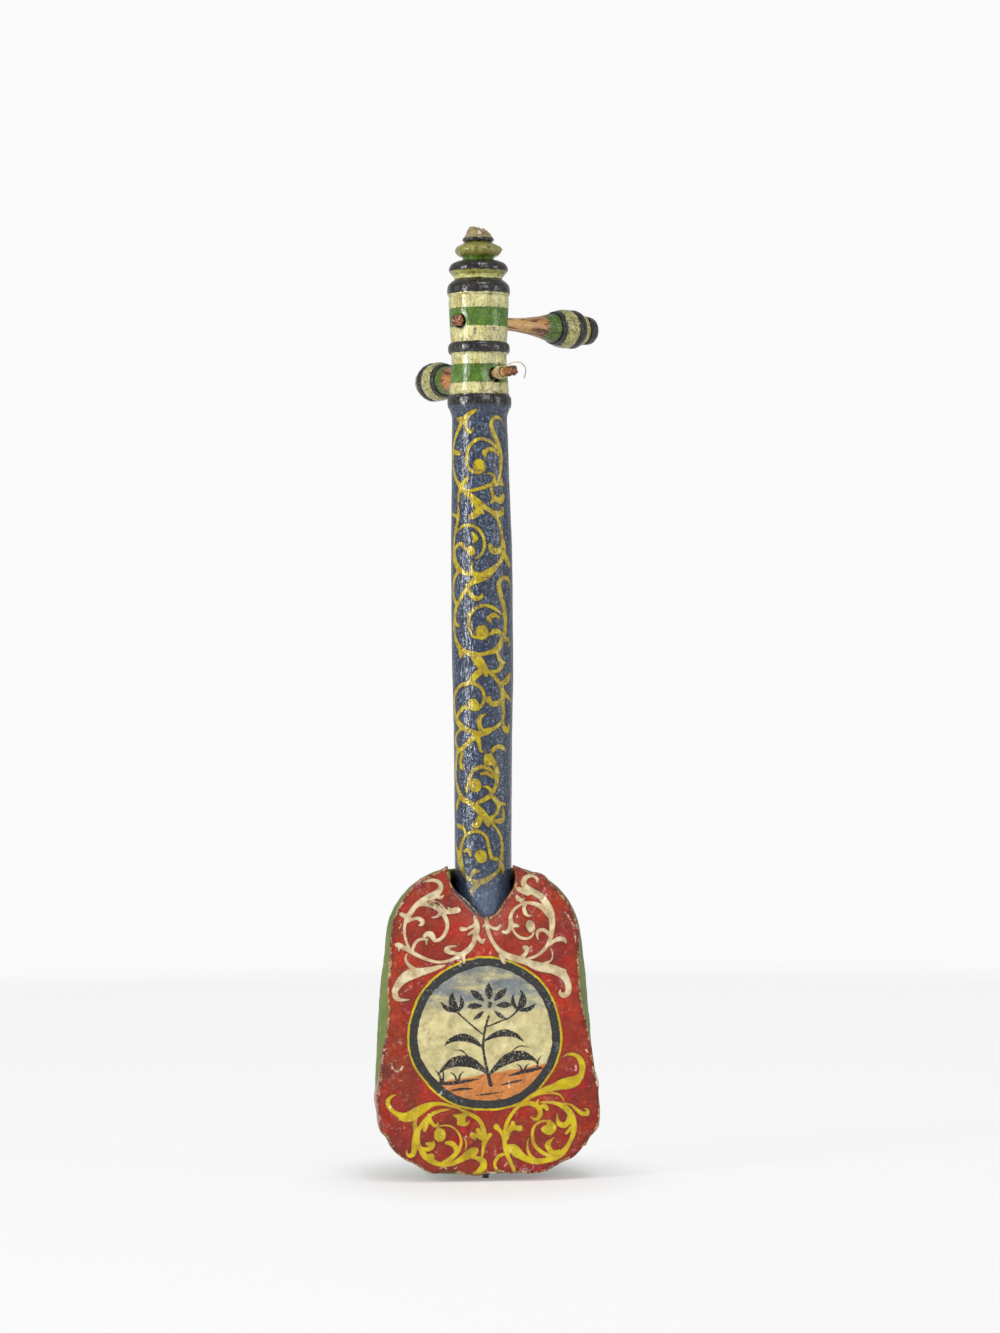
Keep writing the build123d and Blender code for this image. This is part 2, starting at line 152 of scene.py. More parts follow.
# "worn" is how far the hole's mouth is off the peg, sideways and up; "spread" and "oval" are how
# far the tip is beaten out all round and sideways, and "battered" how far up from the tip
UPPER_PEG = {
    "height": 468.1, "degrees": 40.0, "offset": 1.0, "tip": 17.2, "pushed_in": 0.0,
    "worn": (-0.6, -0.5), "spread": 0.75, "oval": 0.35, "battered": 1.6, "seed": 31,
}
LOWER_PEG = {
    "height": 439.3, "degrees": 117.0, "offset": 2.5, "tip": 33.6, "pushed_in": 14.2,
    "worn": (0.8, -1.0), "spread": 0.2, "oval": 0.0, "battered": 8.5, "seed": 45,
}

# the string: its turns round the lower peg, then its free end, from the peg's axis
STRING_R = 0.28
STRING_OFF = 0.05  # between the string and the peg
STRING_ROUND = 5
COIL_FROM = 22.8
COIL_TO = 17.2
COIL_STEP = 1.4
TURN_POINTS = 18
COIL_WANDER, COIL_SLACK = (0.16, 19), (0.35, 31)  # (how far, how fast) along the peg and off it
FREE_END = (
    (25.6, 0, 3.12), (28.4, 0.3, 3.6), (31.2, 0, 4.15), (33.9, -0.6, 4.45), (36.4, -1.8, 4.2),
    (38.1, -3.3, 2.9), (38.7, -4.4, 0.5), (38.1, -4.6, -2.1), (37.1, -4.0, -4.5),
)

# the bowl's carving, as waves like the neck's
CARVE_VOXEL = 1.25
CARVE_WAVES = ((0.35, 16, 0.6, 11), (0.12, 6, 1, 12))
CARVE_FROM, CARVE_TO = -12, -2  # from where to where backwards the carving sets in
BOWL_MIDDLE = (0, 5, 85)

# ---------------------------------------------------------------- the skin's cut edge, in mm

# (x, z) on the face, from the tip of the notch round by the left side, and back
SKIN_TOP_LEFT = (
    (1.9, 144.4), (0.1, 144.2), (-2.6, 145.5), (-6.1, 149.4), (-10.2, 153.6), (-14.8, 157.5),
    (-17.6, 161), (-19, 164.2), (-19.6, 168.3), (-20, 171.4), (-20.6, 171.6), (-23.6, 169.8),
    (-27.2, 168.1), (-31.9, 166.4), (-35.5, 164.5), (-39, 161), (-42.3, 157.1), (-45.5, 152.5),
)
SKIN_LEFT = (
    (-45.5, 152.5), (-48, 148), (-50.1, 142.2), (-51.1, 136.9), (-51.7, 131.1), (-52.1, 125.1),
    (-52.6, 118.7), (-53, 110.5), (-53.6, 104.6), (-53.3, 98.8), (-53.2, 92.8), (-54, 87),
    (-54.9, 77.5), (-55.9, 74.3), (-56.7, 69.4), (-57.5, 63.9), (-58.3, 59), (-59.1, 54.7),
    (-59.9, 51.3), (-60.4, 46.9), (-60.1, 40.3), (-59.6, 36), (-59.1, 31.3), (-57.9, 27.1),
    (-55.3, 24.2), (-53.2, 20.2),
)
SKIN_FOOT = (
    (-53.2, 20.2), (-50.4, 16.6), (-47.6, 13.9), (-44, 11.2), (-39.8, 9.6), (-36.3, 7.3),
    (-33.1, 5.2), (-29.6, 4), (-26, 4.1), (-21.4, 4.6), (-17.2, 4.1), (-13, 3.2), (-7.8, 2.6),
    (-3.6, 2.6), (-0.4, 3.7), (3.6, 3.6), (6.6, 4.3), (11.9, 3.5), (17.9, 3.6), (23.9, 3.3),
    (29.2, 3.7), (33.8, 5), (38.4, 7.7), (42, 9.7), (46.6, 11.5), (50.8, 15), (53.8, 18.6),
)
SKIN_RIGHT = (
    (54.4, 18), (56.8, 22.7), (59.2, 25.3), (61.6, 28.6), (62.4, 32.8), (62.6, 38.7), (61.8, 47.4),
    (61.6, 52.5), (60.7, 56.3), (59.7, 60), (58.5, 66.8), (57.6, 73.1), (56, 81.1), (54.7, 87),
    (53.9, 91.4), (52.7, 97.4), (51.8, 106.2), (51.4, 115.1), (51.3, 123.9), (51.5, 131.1),
    (51, 137.5), (49.6, 143.4), (47.5, 148.1), (44.9, 152.3),
)
SKIN_TOP_RIGHT = (
    (44.9, 152.3), (42, 155.9), (38.5, 159.7), (35.5, 162.7), (32.6, 166), (29.1, 167.5),
    (25, 168.1), (21.4, 169.4), (18.5, 170.8), (15.7, 171.7), (15.2, 171), (16.4, 166.7),
    (16.2, 162.6), (14.9, 158.8), (12.4, 155), (9.5, 150.9), (6.5, 146.5), (4.2, 144.8),
    (1.9, 144.4),
)
SKIN_STEP = 0.4
SKIN_LOOP = 860
SKIN_NET = 0.66
NET_CLEAR = 0.62  # how near the net comes to the face's outline, in parts of its own size
SKIN_TURN_ROWS = 12
TURN_IN, TURN_IN_MORE = 0.5, 0.7  # how far inside the free edge the face turns over
NOTCH_HALF, NOTCH_FOOT = 21, 140
SKIN_THICK = 1.1
SKIN_BACK_SHARE = 23  # the back's net takes one place of this many
SKIN_FRONT = -16.7
SKIN_BACK = -15.55
SKIRT_TOP = -14.2  # how far back the free edge lies at the top
SKIRT_MORE = 17.2  # and how much further round the foot
SKIRT_WAVES = ((0.5, 11, 1, 23),)
SKIRT_PAINT = 0.8  # how much of the skirt's depth counts as distance to the free edge
OVER_NECK = 1.0  # across, the middle of what the neck under the skin pushes out, and of the painted sheen there
FACE_SWELL, SWELL_FROM, SWELL_TO, SWELL_REACH = 1.3, 108, 142, 15.5
# up and across, where the painted sheen over the neck under the skin lies
SHEEN_FROM, SHEEN_TO, SHEEN_REACH = 126, 148, 11
FACE_WAVES = ((0.22, 34, 21), (0.10, 9, 22))  # (depth, length, seed)
FOLD_DEPTH, FOLD_REACH, FOLD_OFF = 0.65, 1.3, 0.4  # a fold beside one chip in the paint

# ---------------------------------------------------------------- painted ornament, in mm

FAR_FROM_PAINT = 4.0  # distances to strokes are measured no further than this
STROKE_STEP = 0.9
LEAST_HALF_WIDTH = 0.12

# brush strokes as points (across, up, width); on the neck, across runs round the stick
CREAM_SCROLLS = (
    ((-33.5, 163, 0.8), (-30.8, 163.8, 1.4), (-27.3, 164, 1.8), (-24.5, 162.6, 2.2),
     (-23.8, 160, 2.6), (-25.7, 157.1, 3.5), (-28.8, 155.4, 3.9), (-32.4, 153.8, 3.3),
     (-35.6, 151.9, 2.8), (-38.3, 149.3, 2.6), (-40.4, 146.4, 2.7), (-42.3, 143.5, 2.6),
     (-43.4, 140.5, 1.8), (-43.8, 137.6, 1.5), (-43.5, 134.1, 1.4), (-42.6, 130.5, 1.4),
     (-41.4, 127.3, 1.5)),
    ((-25.7, 155, 1.5), (-23.8, 154.7, 1.6), (-22.5, 155.7, 0.8)),
    ((-29.7, 152.5, 0.6), (-26.8, 152.5, 0.7), (-24.5, 151.5, 0.9), (-22.7, 149.4, 1.2),
     (-21.3, 147, 1.8)),
    ((-21.3, 146.7, 2), (-18.6, 147, 2.7), (-16, 147.6, 3.3), (-14.5, 147.7, 2.7)),
    ((-18.6, 148.2, 1.2), (-20.1, 149.3, 0.5)),
    ((-39.8, 147.5, 1.8), (-37.4, 149.8, 1.2), (-34.5, 150.9, 1.5), (-30.9, 150.9, 2.4),
     (-27.4, 149.9, 2.9), (-24.5, 148, 2.7), (-22.2, 145, 2.4), (-20.6, 141.2, 2.1),
     (-20.8, 137.3, 2), (-22.4, 134.1, 1.9), (-24.7, 131.8, 1.8), (-27.6, 131.1, 1.4)),
    ((-23.9, 148.5, 1.2), (-24.4, 146.2, 2), (-26, 144.4, 1.4), (-29.1, 143.8, 0.4)),
    ((-33, 133.7, 1.8), (-31.4, 135.1, 2.6), (-29.3, 134.5, 3.5), (-28.1, 132.7, 2.6)),
    ((-32.3, 132.2, 0.9), (-31.8, 130.1, 0.7), (-31.8, 128.8, 0.3)),
    ((-31.4, 131.9, 1.4), (-34, 132.3, 1.3), (-36.7, 131.4, 1.5), (-38.7, 128.7, 1.6),
     (-39.4, 126.1, 1.5), (-38.5, 124.3, 1.3)),
    ((-41.6, 142, 1.5), (-39.2, 143.1, 1.5), (-36.6, 143.5, 1.9), (-34.2, 142.2, 2.4),
     (-34.1, 140.5, 1.8), (-36.2, 139.5, 0.4)),
    ((-41.9, 144.3, 2.6), (-43.9, 145, 2.4), (-45.5, 145.9, 2)),
    ((-48.4, 129.4, 1.5), (-47, 129.1, 2.9), (-44.6, 127.9, 2.5), (-41.7, 126.3, 2),
     (-37.6, 123.9, 2), (-33.5, 121.9, 1.9), (-29.4, 120.4, 1.6), (-25.3, 119.6, 1.4),
     (-21.2, 120, 1.4), (-17.6, 121.1, 1.6), (-14.1, 122.9, 2.5), (-10.6, 125, 2.9),
     (-7.9, 127.5, 2.6), (-6.2, 130.4, 2.5), (-5.3, 133.6, 2.7), (-4.6, 136.8, 3.2),
     (-4.6, 140.1, 2.8), (-5.4, 143, 1.9), (-6.1, 144.7, 0.6)),
    ((-46.7, 128.2, 1.4), (-46.9, 125.6, 0.4)),
    ((-5.7, 139.5, 1.8), (-7.8, 138.6, 1.5), (-10.2, 137.4, 1.5), (-12.5, 137.5, 2.7)),
    ((-5.8, 136.6, 1.5), (-7.8, 135.3, 1.5), (-9, 134.4, 1.3)),
    ((-4.3, 134.2, 1.8), (-3.1, 131.5, 1.8), (-1.6, 130.5, 2.1), (-0.3, 131.9, 0.8)),
    ((-12.9, 124.2, 1.4), (-15.9, 124.2, 1.6), (-19.1, 124.9, 2.6), (-21.1, 126.2, 2.6),
     (-19.9, 127.6, 1.8), (-17.6, 128.1, 1.1), (-15.4, 128.3, 0.3)),
    ((-21.8, 118, 0.6), (-24.7, 117.1, 2), (-29.5, 115.7, 3.1), (-34.2, 114.6, 4.1),
     (-38.3, 113.8, 5.4), (-41.8, 112.6, 5.9), (-45.1, 110.3, 4.9), (-47.7, 107.1, 3.9),
     (-49.2, 103.9, 3.2), (-48.7, 101, 2.9), (-46.6, 99.5, 2), (-43.7, 99.3, 1.1),
     (-41.2, 99.5, 0.4)),
    ((-42.6, 124.2, 0.9), (-43.3, 122, 1.2), (-42.6, 119.7, 1.4), (-40.9, 117.6, 2),
     (-38.6, 115.8, 2.4)),
    ((-12, 122.5, 2), (-11.5, 120.2, 1.5), (-11.7, 118.7, 0.5)),
    ((27.9, 161.7, 0.3), (28.7, 163.7, 1.4), (27, 165.6, 1.6), (24.2, 165.9, 2.1),
     (21.7, 164.2, 2.7), (21.2, 161.3, 2.9), (24.1, 158.3, 3.5), (27.7, 156.5, 3.5),
     (30.9, 154.1, 3.6), (33.5, 150.5, 3.8), (35.4, 146.7, 3.8), (36.3, 142.5, 3.4),
     (36.5, 138.4, 2.9), (36, 134.3, 2.4), (35.1, 130.8, 2), (33.3, 127.3, 1.9),
     (30.3, 124.1, 1.6), (26.8, 121.9, 1.5), (23.2, 120.9, 1.3)),
    ((17.7, 159.1, 1.8), (20, 158, 2.9), (23.5, 156.8, 3.5)),
    ((17.5, 154.8, 1.5), (18.2, 153.6, 2.6), (20.6, 152.4, 1.8)),
    ((20.6, 152.7, 1.2), (21.5, 154, 0.5)),
    ((19.4, 151.9, 0.9), (22.3, 151.4, 1.3), (25.8, 151, 2), (29.4, 149.7, 2.4), (32.3, 147, 2),
     (34.2, 143.7, 1.2)),
    ((22.3, 150.9, 1.4), (21.2, 148.6, 1.9), (21.8, 145.9, 2.1), (23.4, 144.3, 1.3),
     (25.3, 144.3, 0.4)),
    ((20.5, 150.8, 0.8), (17.6, 149.2, 1.4), (15.2, 146.9, 1.6), (13.9, 143.7, 2),
     (14, 140.2, 2.7), (13.4, 137.5, 2.4), (11.6, 135.3, 2), (9.7, 135.8, 1.5)),
    ((14.9, 139.3, 2.4), (17.2, 138.9, 1.8), (18.4, 138.5, 0.7)),
    ((14.5, 137.8, 1.1), (16.3, 134.8, 1.2), (18.9, 132.6, 1.5), (22.2, 131.8, 1.5),
     (24.8, 132.7, 1.3), (26.6, 135, 0.7)),
    ((24.2, 140, 3.5), (24.6, 138.9, 4.9), (25.1, 137.3, 4.2)),
    ((35.4, 133.1, 1.6), (33.7, 135.2, 1.9), (31.3, 136.6, 1.9), (29, 136, 1.8),
     (28.2, 133.7, 1.3), (28.9, 130.9, 0.3)),
    ((35.4, 128.1, 0.8), (36.9, 129.9, 1.6), (39.6, 131.3, 2.5), (42.2, 131.4, 2.4),
     (43.7, 130, 1.4), (43.8, 129, 0.5)),
    ((35.4, 126.7, 0.5), (36.5, 124.3, 0.8), (36.5, 121.3, 0.8), (35.1, 119.3, 0.9),
     (32.4, 118.3, 1.5)),
    ((22.1, 119.2, 1.8), (25.6, 117.7, 4.1), (29.7, 116.4, 4.9), (34.4, 115.5, 4.9),
     (38.5, 114.3, 4.9), (41.8, 112.2, 4.7), (44.1, 108.9, 3.6), (45.1, 105.3, 3.3),
     (44.6, 102.1, 3.1), (42.3, 100.7, 2.6), (40.4, 102, 1.8), (40.8, 103.9, 0.5)),
    ((41.5, 114.2, 2.9), (44, 114.1, 0.8)),
    ((0.9, 144.6, 0.7), (0.8, 141.8, 2.1), (1.3, 137.7, 2), (2.6, 133.5, 1.9), (4.9, 129.1, 2),
     (7.7, 125.5, 2.5), (11.5, 122.9, 3.2), (15.6, 121.3, 3.5), (19.7, 120.1, 3.5),
     (23.8, 118.6, 3.5)),
    ((0.4, 140.6, 1.4), (-1.5, 138.2, 0.5)),
    ((1.9, 139.7, 1.4), (3.9, 137.9, 1.5), (6.6, 137.5, 2), (8.2, 139, 1.5), (7.8, 139.9, 0.6)),
    ((20.3, 121.8, 2.4), (22.1, 123.9, 2), (22.6, 126.2, 2.9), (21.2, 127.1, 2)),
    ((8.5, 122.9, 2.4), (9.6, 120.5, 2.4), (10.3, 119, 1.8)),
)

YELLOW_SCROLLS = (
    ((-48.5, 48.1, 0.3), (-51.1, 47.3, 1.2), (-53.4, 44.9, 2.3), (-53, 41.8, 2.3),
     (-50.4, 38.8, 2.2), (-47.3, 37.1, 3.1), (-44.7, 35.8, 4.7), (-41, 36.4, 5.8),
     (-37.4, 38.7, 5.4), (-33.2, 41, 4.2), (-29.1, 42.6, 2.6), (-24.4, 42.8, 1.8),
     (-20.3, 41.8, 1.5), (-16.1, 40.6, 1.3), (-12, 38.6, 1.6), (-8.4, 36.7, 2.1),
     (-5.5, 34.9, 2.3), (-3.2, 32.3, 2.4), (-1.8, 28.9, 2.5), (-1.2, 25.2, 2.6), (-1.4, 21.6, 2.3),
     (-2, 18, 1.8), (-2.5, 14.3, 1.2)),
    ((-45.2, 35, 2.1), (-47.4, 34.5, 0.8)),
    ((-19, 39.9, 0.3), (-22.4, 39.5, 1.1), (-26, 38.8, 1.7), (-29.4, 37.3, 2.1),
     (-32.5, 34.8, 2.3), (-35.4, 31.4, 2.1), (-36.9, 27.8, 2), (-37.4, 24.2, 2.1),
     (-36.9, 20.6, 2.4), (-35.5, 17.2, 2.8), (-33.2, 14.3, 3.4), (-30.4, 12.3, 3.4),
     (-27.3, 10.6, 2.7), (-23.6, 9.6, 2.2), (-20, 9.9, 2.3), (-16.6, 11.2, 2.7),
     (-13.2, 13.1, 3.4), (-10.1, 15, 4.7), (-7.5, 16.4, 5), (-5.7, 17.5, 2.6)),
    ((-38, 34.6, 0.8), (-39, 31.5, 2.3), (-38.3, 28.4, 2.9), (-38.8, 24.7, 2.8),
     (-39.5, 21.1, 2.7), (-39.4, 18, 2.9), (-40.2, 15.4, 2.6), (-42.3, 14.8, 1.9),
     (-43.5, 16.5, 0.9), (-43.4, 18.1, 0.3)),
    ((-30.7, 36.6, 1.6), (-32, 33.5, 2.3), (-33.1, 30.6, 2.6), (-33.7, 28.6, 1.8)),
    ((-30.7, 35, 1.6), (-29.9, 32.7, 2.1), (-27.9, 30.9, 1.7), (-26.3, 31.7, 1), (-27, 33.5, 0.3)),
    ((-25.4, 26.4, 6.4), (-25.4, 25.3, 6.2)),
    ((-27.5, 29.2, 0.3), (-25, 30.8, 0.7), (-21.9, 31.1, 0.9), (-18.8, 30.2, 1), (-16, 27.8, 1.1),
     (-14.2, 24.4, 1.3), (-14, 20.7, 1.6), (-15.5, 17.1, 2.1), (-18.1, 14.3, 2.6),
     (-21.3, 12, 2.4), (-24.7, 10.5, 1.6)),
    ((-16.8, 16.1, 2.1), (-17.1, 19.2, 2.7), (-19.1, 21.2, 2.9), (-21.9, 21.6, 1.8)),
    ((-35.5, 19, 1.6), (-32.6, 18.2, 2.3), (-30, 19.2, 2.6), (-28.6, 21.2, 1.5),
     (-29.1, 22.9, 0.3)),
    ((-32.4, 21.3, 1.6), (-30.3, 21, 2.6)),
    ((-32.4, 14.3, 1.6), (-29.8, 15, 2.1), (-28.7, 14, 0.8)),
    ((-17.7, 36.4, 1.2), (-15.4, 35.8, 2.6), (-13.6, 34.2, 4.7), (-14.1, 32.7, 3.6)),
    ((-14.9, 32.2, 2.6), (-12, 31.6, 2.3), (-10.1, 32.1, 1.2), (-9.4, 33.4, 0.3)),
    ((-11, 37.3, 2.6), (-13.6, 35.8, 3.1)),
    ((-12.6, 24.6, 0.3), (-11.3, 22.3, 0.8), (-11.1, 19.7, 0.8), (-11.7, 17.9, 0.5)),
    ((-7.9, 25.7, 2.8), (-5.6, 25.3, 2.1), (-3, 23.7, 1.9)),
    ((-4.8, 28.3, 2.4), (-3.3, 26.3, 2.3), (-1.7, 23.7, 2.1)),
    ((-7.7, 24.8, 2.1), (-5.9, 22.7, 0.5)),
    ((1.9, 25.7, 2.1), (0.1, 23.1, 1.9), (-1.2, 20.6, 1.8)),
    ((-8.3, 13.1, 0.8), (-5.4, 13.1, 2.1), (-2.6, 11.6, 3.6), (-1.8, 9.1, 3.9), (-3, 6.8, 3.9),
     (-5.5, 5.1, 2.6), (-8.5, 4.4, 0.4)),
    ((41.6, 67.1, 0.3), (44.1, 68.6, 1.1), (47.4, 68.6, 1.8), (50.3, 67, 2.7), (52.1, 63.7, 3.3),
     (52.3, 60.2, 3.2), (51.1, 56.9, 3.3), (48.7, 54.3, 5.3), (45.2, 53.2, 6.4), (41, 52.4, 5.6),
     (36.9, 51.1, 4.1), (32.5, 49.8, 3.3), (28.3, 48.1, 2.8), (24.2, 46, 2.2), (20, 43.1, 1.8),
     (16.5, 39.9, 1.8), (13.5, 36.3, 1.9), (11.2, 32.2, 2.1), (10, 27.8, 2.2), (9.6, 23.1, 2.4),
     (10.2, 18.4, 2.7), (11.4, 13.7, 2.4), (13.2, 9.8, 2.1), (14.8, 6.1, 2)),
    ((27.1, 46.7, 0.6), (31.9, 47.5, 0.7), (36.6, 47.7, 1.1), (40.1, 46.5, 0.9),
     (42.4, 43.3, 0.4)),
    ((29.5, 42.9, 0.7), (33.6, 42.9, 1.3), (37.7, 42.2, 2), (41.5, 40.6, 2.9), (44.8, 37.6, 3.5),
     (46.8, 33.7, 3.4), (47.5, 29.6, 3.2), (47, 25.5, 2.6), (45.5, 21.7, 2.2), (43.4, 18.2, 2.6),
     (40.7, 15, 3.4), (37.2, 12.8, 3.3), (33, 11.5, 2.9), (28.3, 10.8, 3.2), (23.6, 11.4, 3.3),
     (19.5, 13.4, 3.8), (16, 16.1, 4.9), (13.1, 17.6, 4.1), (10.4, 18.1, 2.4)),
    ((42.4, 42.2, 0.7), (46, 41.1, 1.3), (48.9, 38.7, 1.8), (51.8, 36.5, 2.4), (54.8, 36.4, 2.4),
     (54.9, 38.4, 1.4), (53.2, 39.2, 0.3)),
    ((34.1, 32.7, 0.9), (30.6, 32.7, 1.2), (27.3, 31.4, 1.3), (25.3, 28.5, 1.5), (24.8, 24.6, 1.8),
     (25.6, 20.5, 2), (28.1, 17.2, 2.2), (31.6, 14.8, 2.1), (35.4, 13.3, 1.8)),
    ((34.1, 31.9, 2.9), (35.7, 29.5, 4.1), (34.1, 28, 5.9), (31.7, 28.1, 4.1)),
    ((17.7, 40.6, 0.8), (21.2, 42.1, 2.1), (24.7, 42.2, 2.7), (27.7, 40.5, 2.7), (29.3, 37.5, 2.6),
     (28.5, 34.9, 2.4), (26.2, 33.7, 1.6), (23.4, 35.4, 0.3)),
    ((27.1, 41.7, 2.4), (28.3, 44.3, 0.6)),
    ((29.2, 40.5, 1.8), (31.8, 40.7, 2.4), (33, 38.9, 1.8)),
    ((38.4, 37.1, 0.3), (38.4, 34.2, 1.1), (39.1, 31.5, 2.6), (41.8, 30.2, 3.1), (44.4, 32, 2.9),
     (45.6, 35.5, 2.9)),
    ((45.9, 29, 1.8), (43.5, 26.1, 1.5), (42.6, 25.4, 0.5)),
    ((36.9, 23.9, 0.3), (34.9, 22.1, 1.4), (33.1, 19.8, 3.2), (34.3, 16.8, 2.9), (36.9, 15.3, 2.6),
     (39.3, 15.9, 2.4)),
    ((23.1, 24.1, 0.3), (22.2, 21.2, 0.8), (22.2, 17.6, 1.3), (23.6, 14.1, 1.8),
     (26.3, 11.7, 1.8)),
    ((10.7, 23.7, 2.6), (11.8, 27.2, 2.7), (14, 29.8, 3.3), (14.3, 31.9, 2.1)),
    ((14, 29.5, 2.9), (16.7, 28.9, 2.9), (18, 28.9, 3.2)),
    ((5.2, 29.9, 3.2), (7.2, 27.8, 2), (8.4, 25.5, 1.5), (9, 22.5, 1.2)),
    ((9.7, 15.1, 1.3), (6.8, 14.2, 2), (4.8, 11.7, 1.9), (4.2, 9.1, 1.6), (5.6, 6.4, 1.6),
     (7.9, 4.9, 0.8)),
    ((11, 19, 2.4), (14.5, 17.7, 5.3), (16.9, 15.3, 5.3)),
)

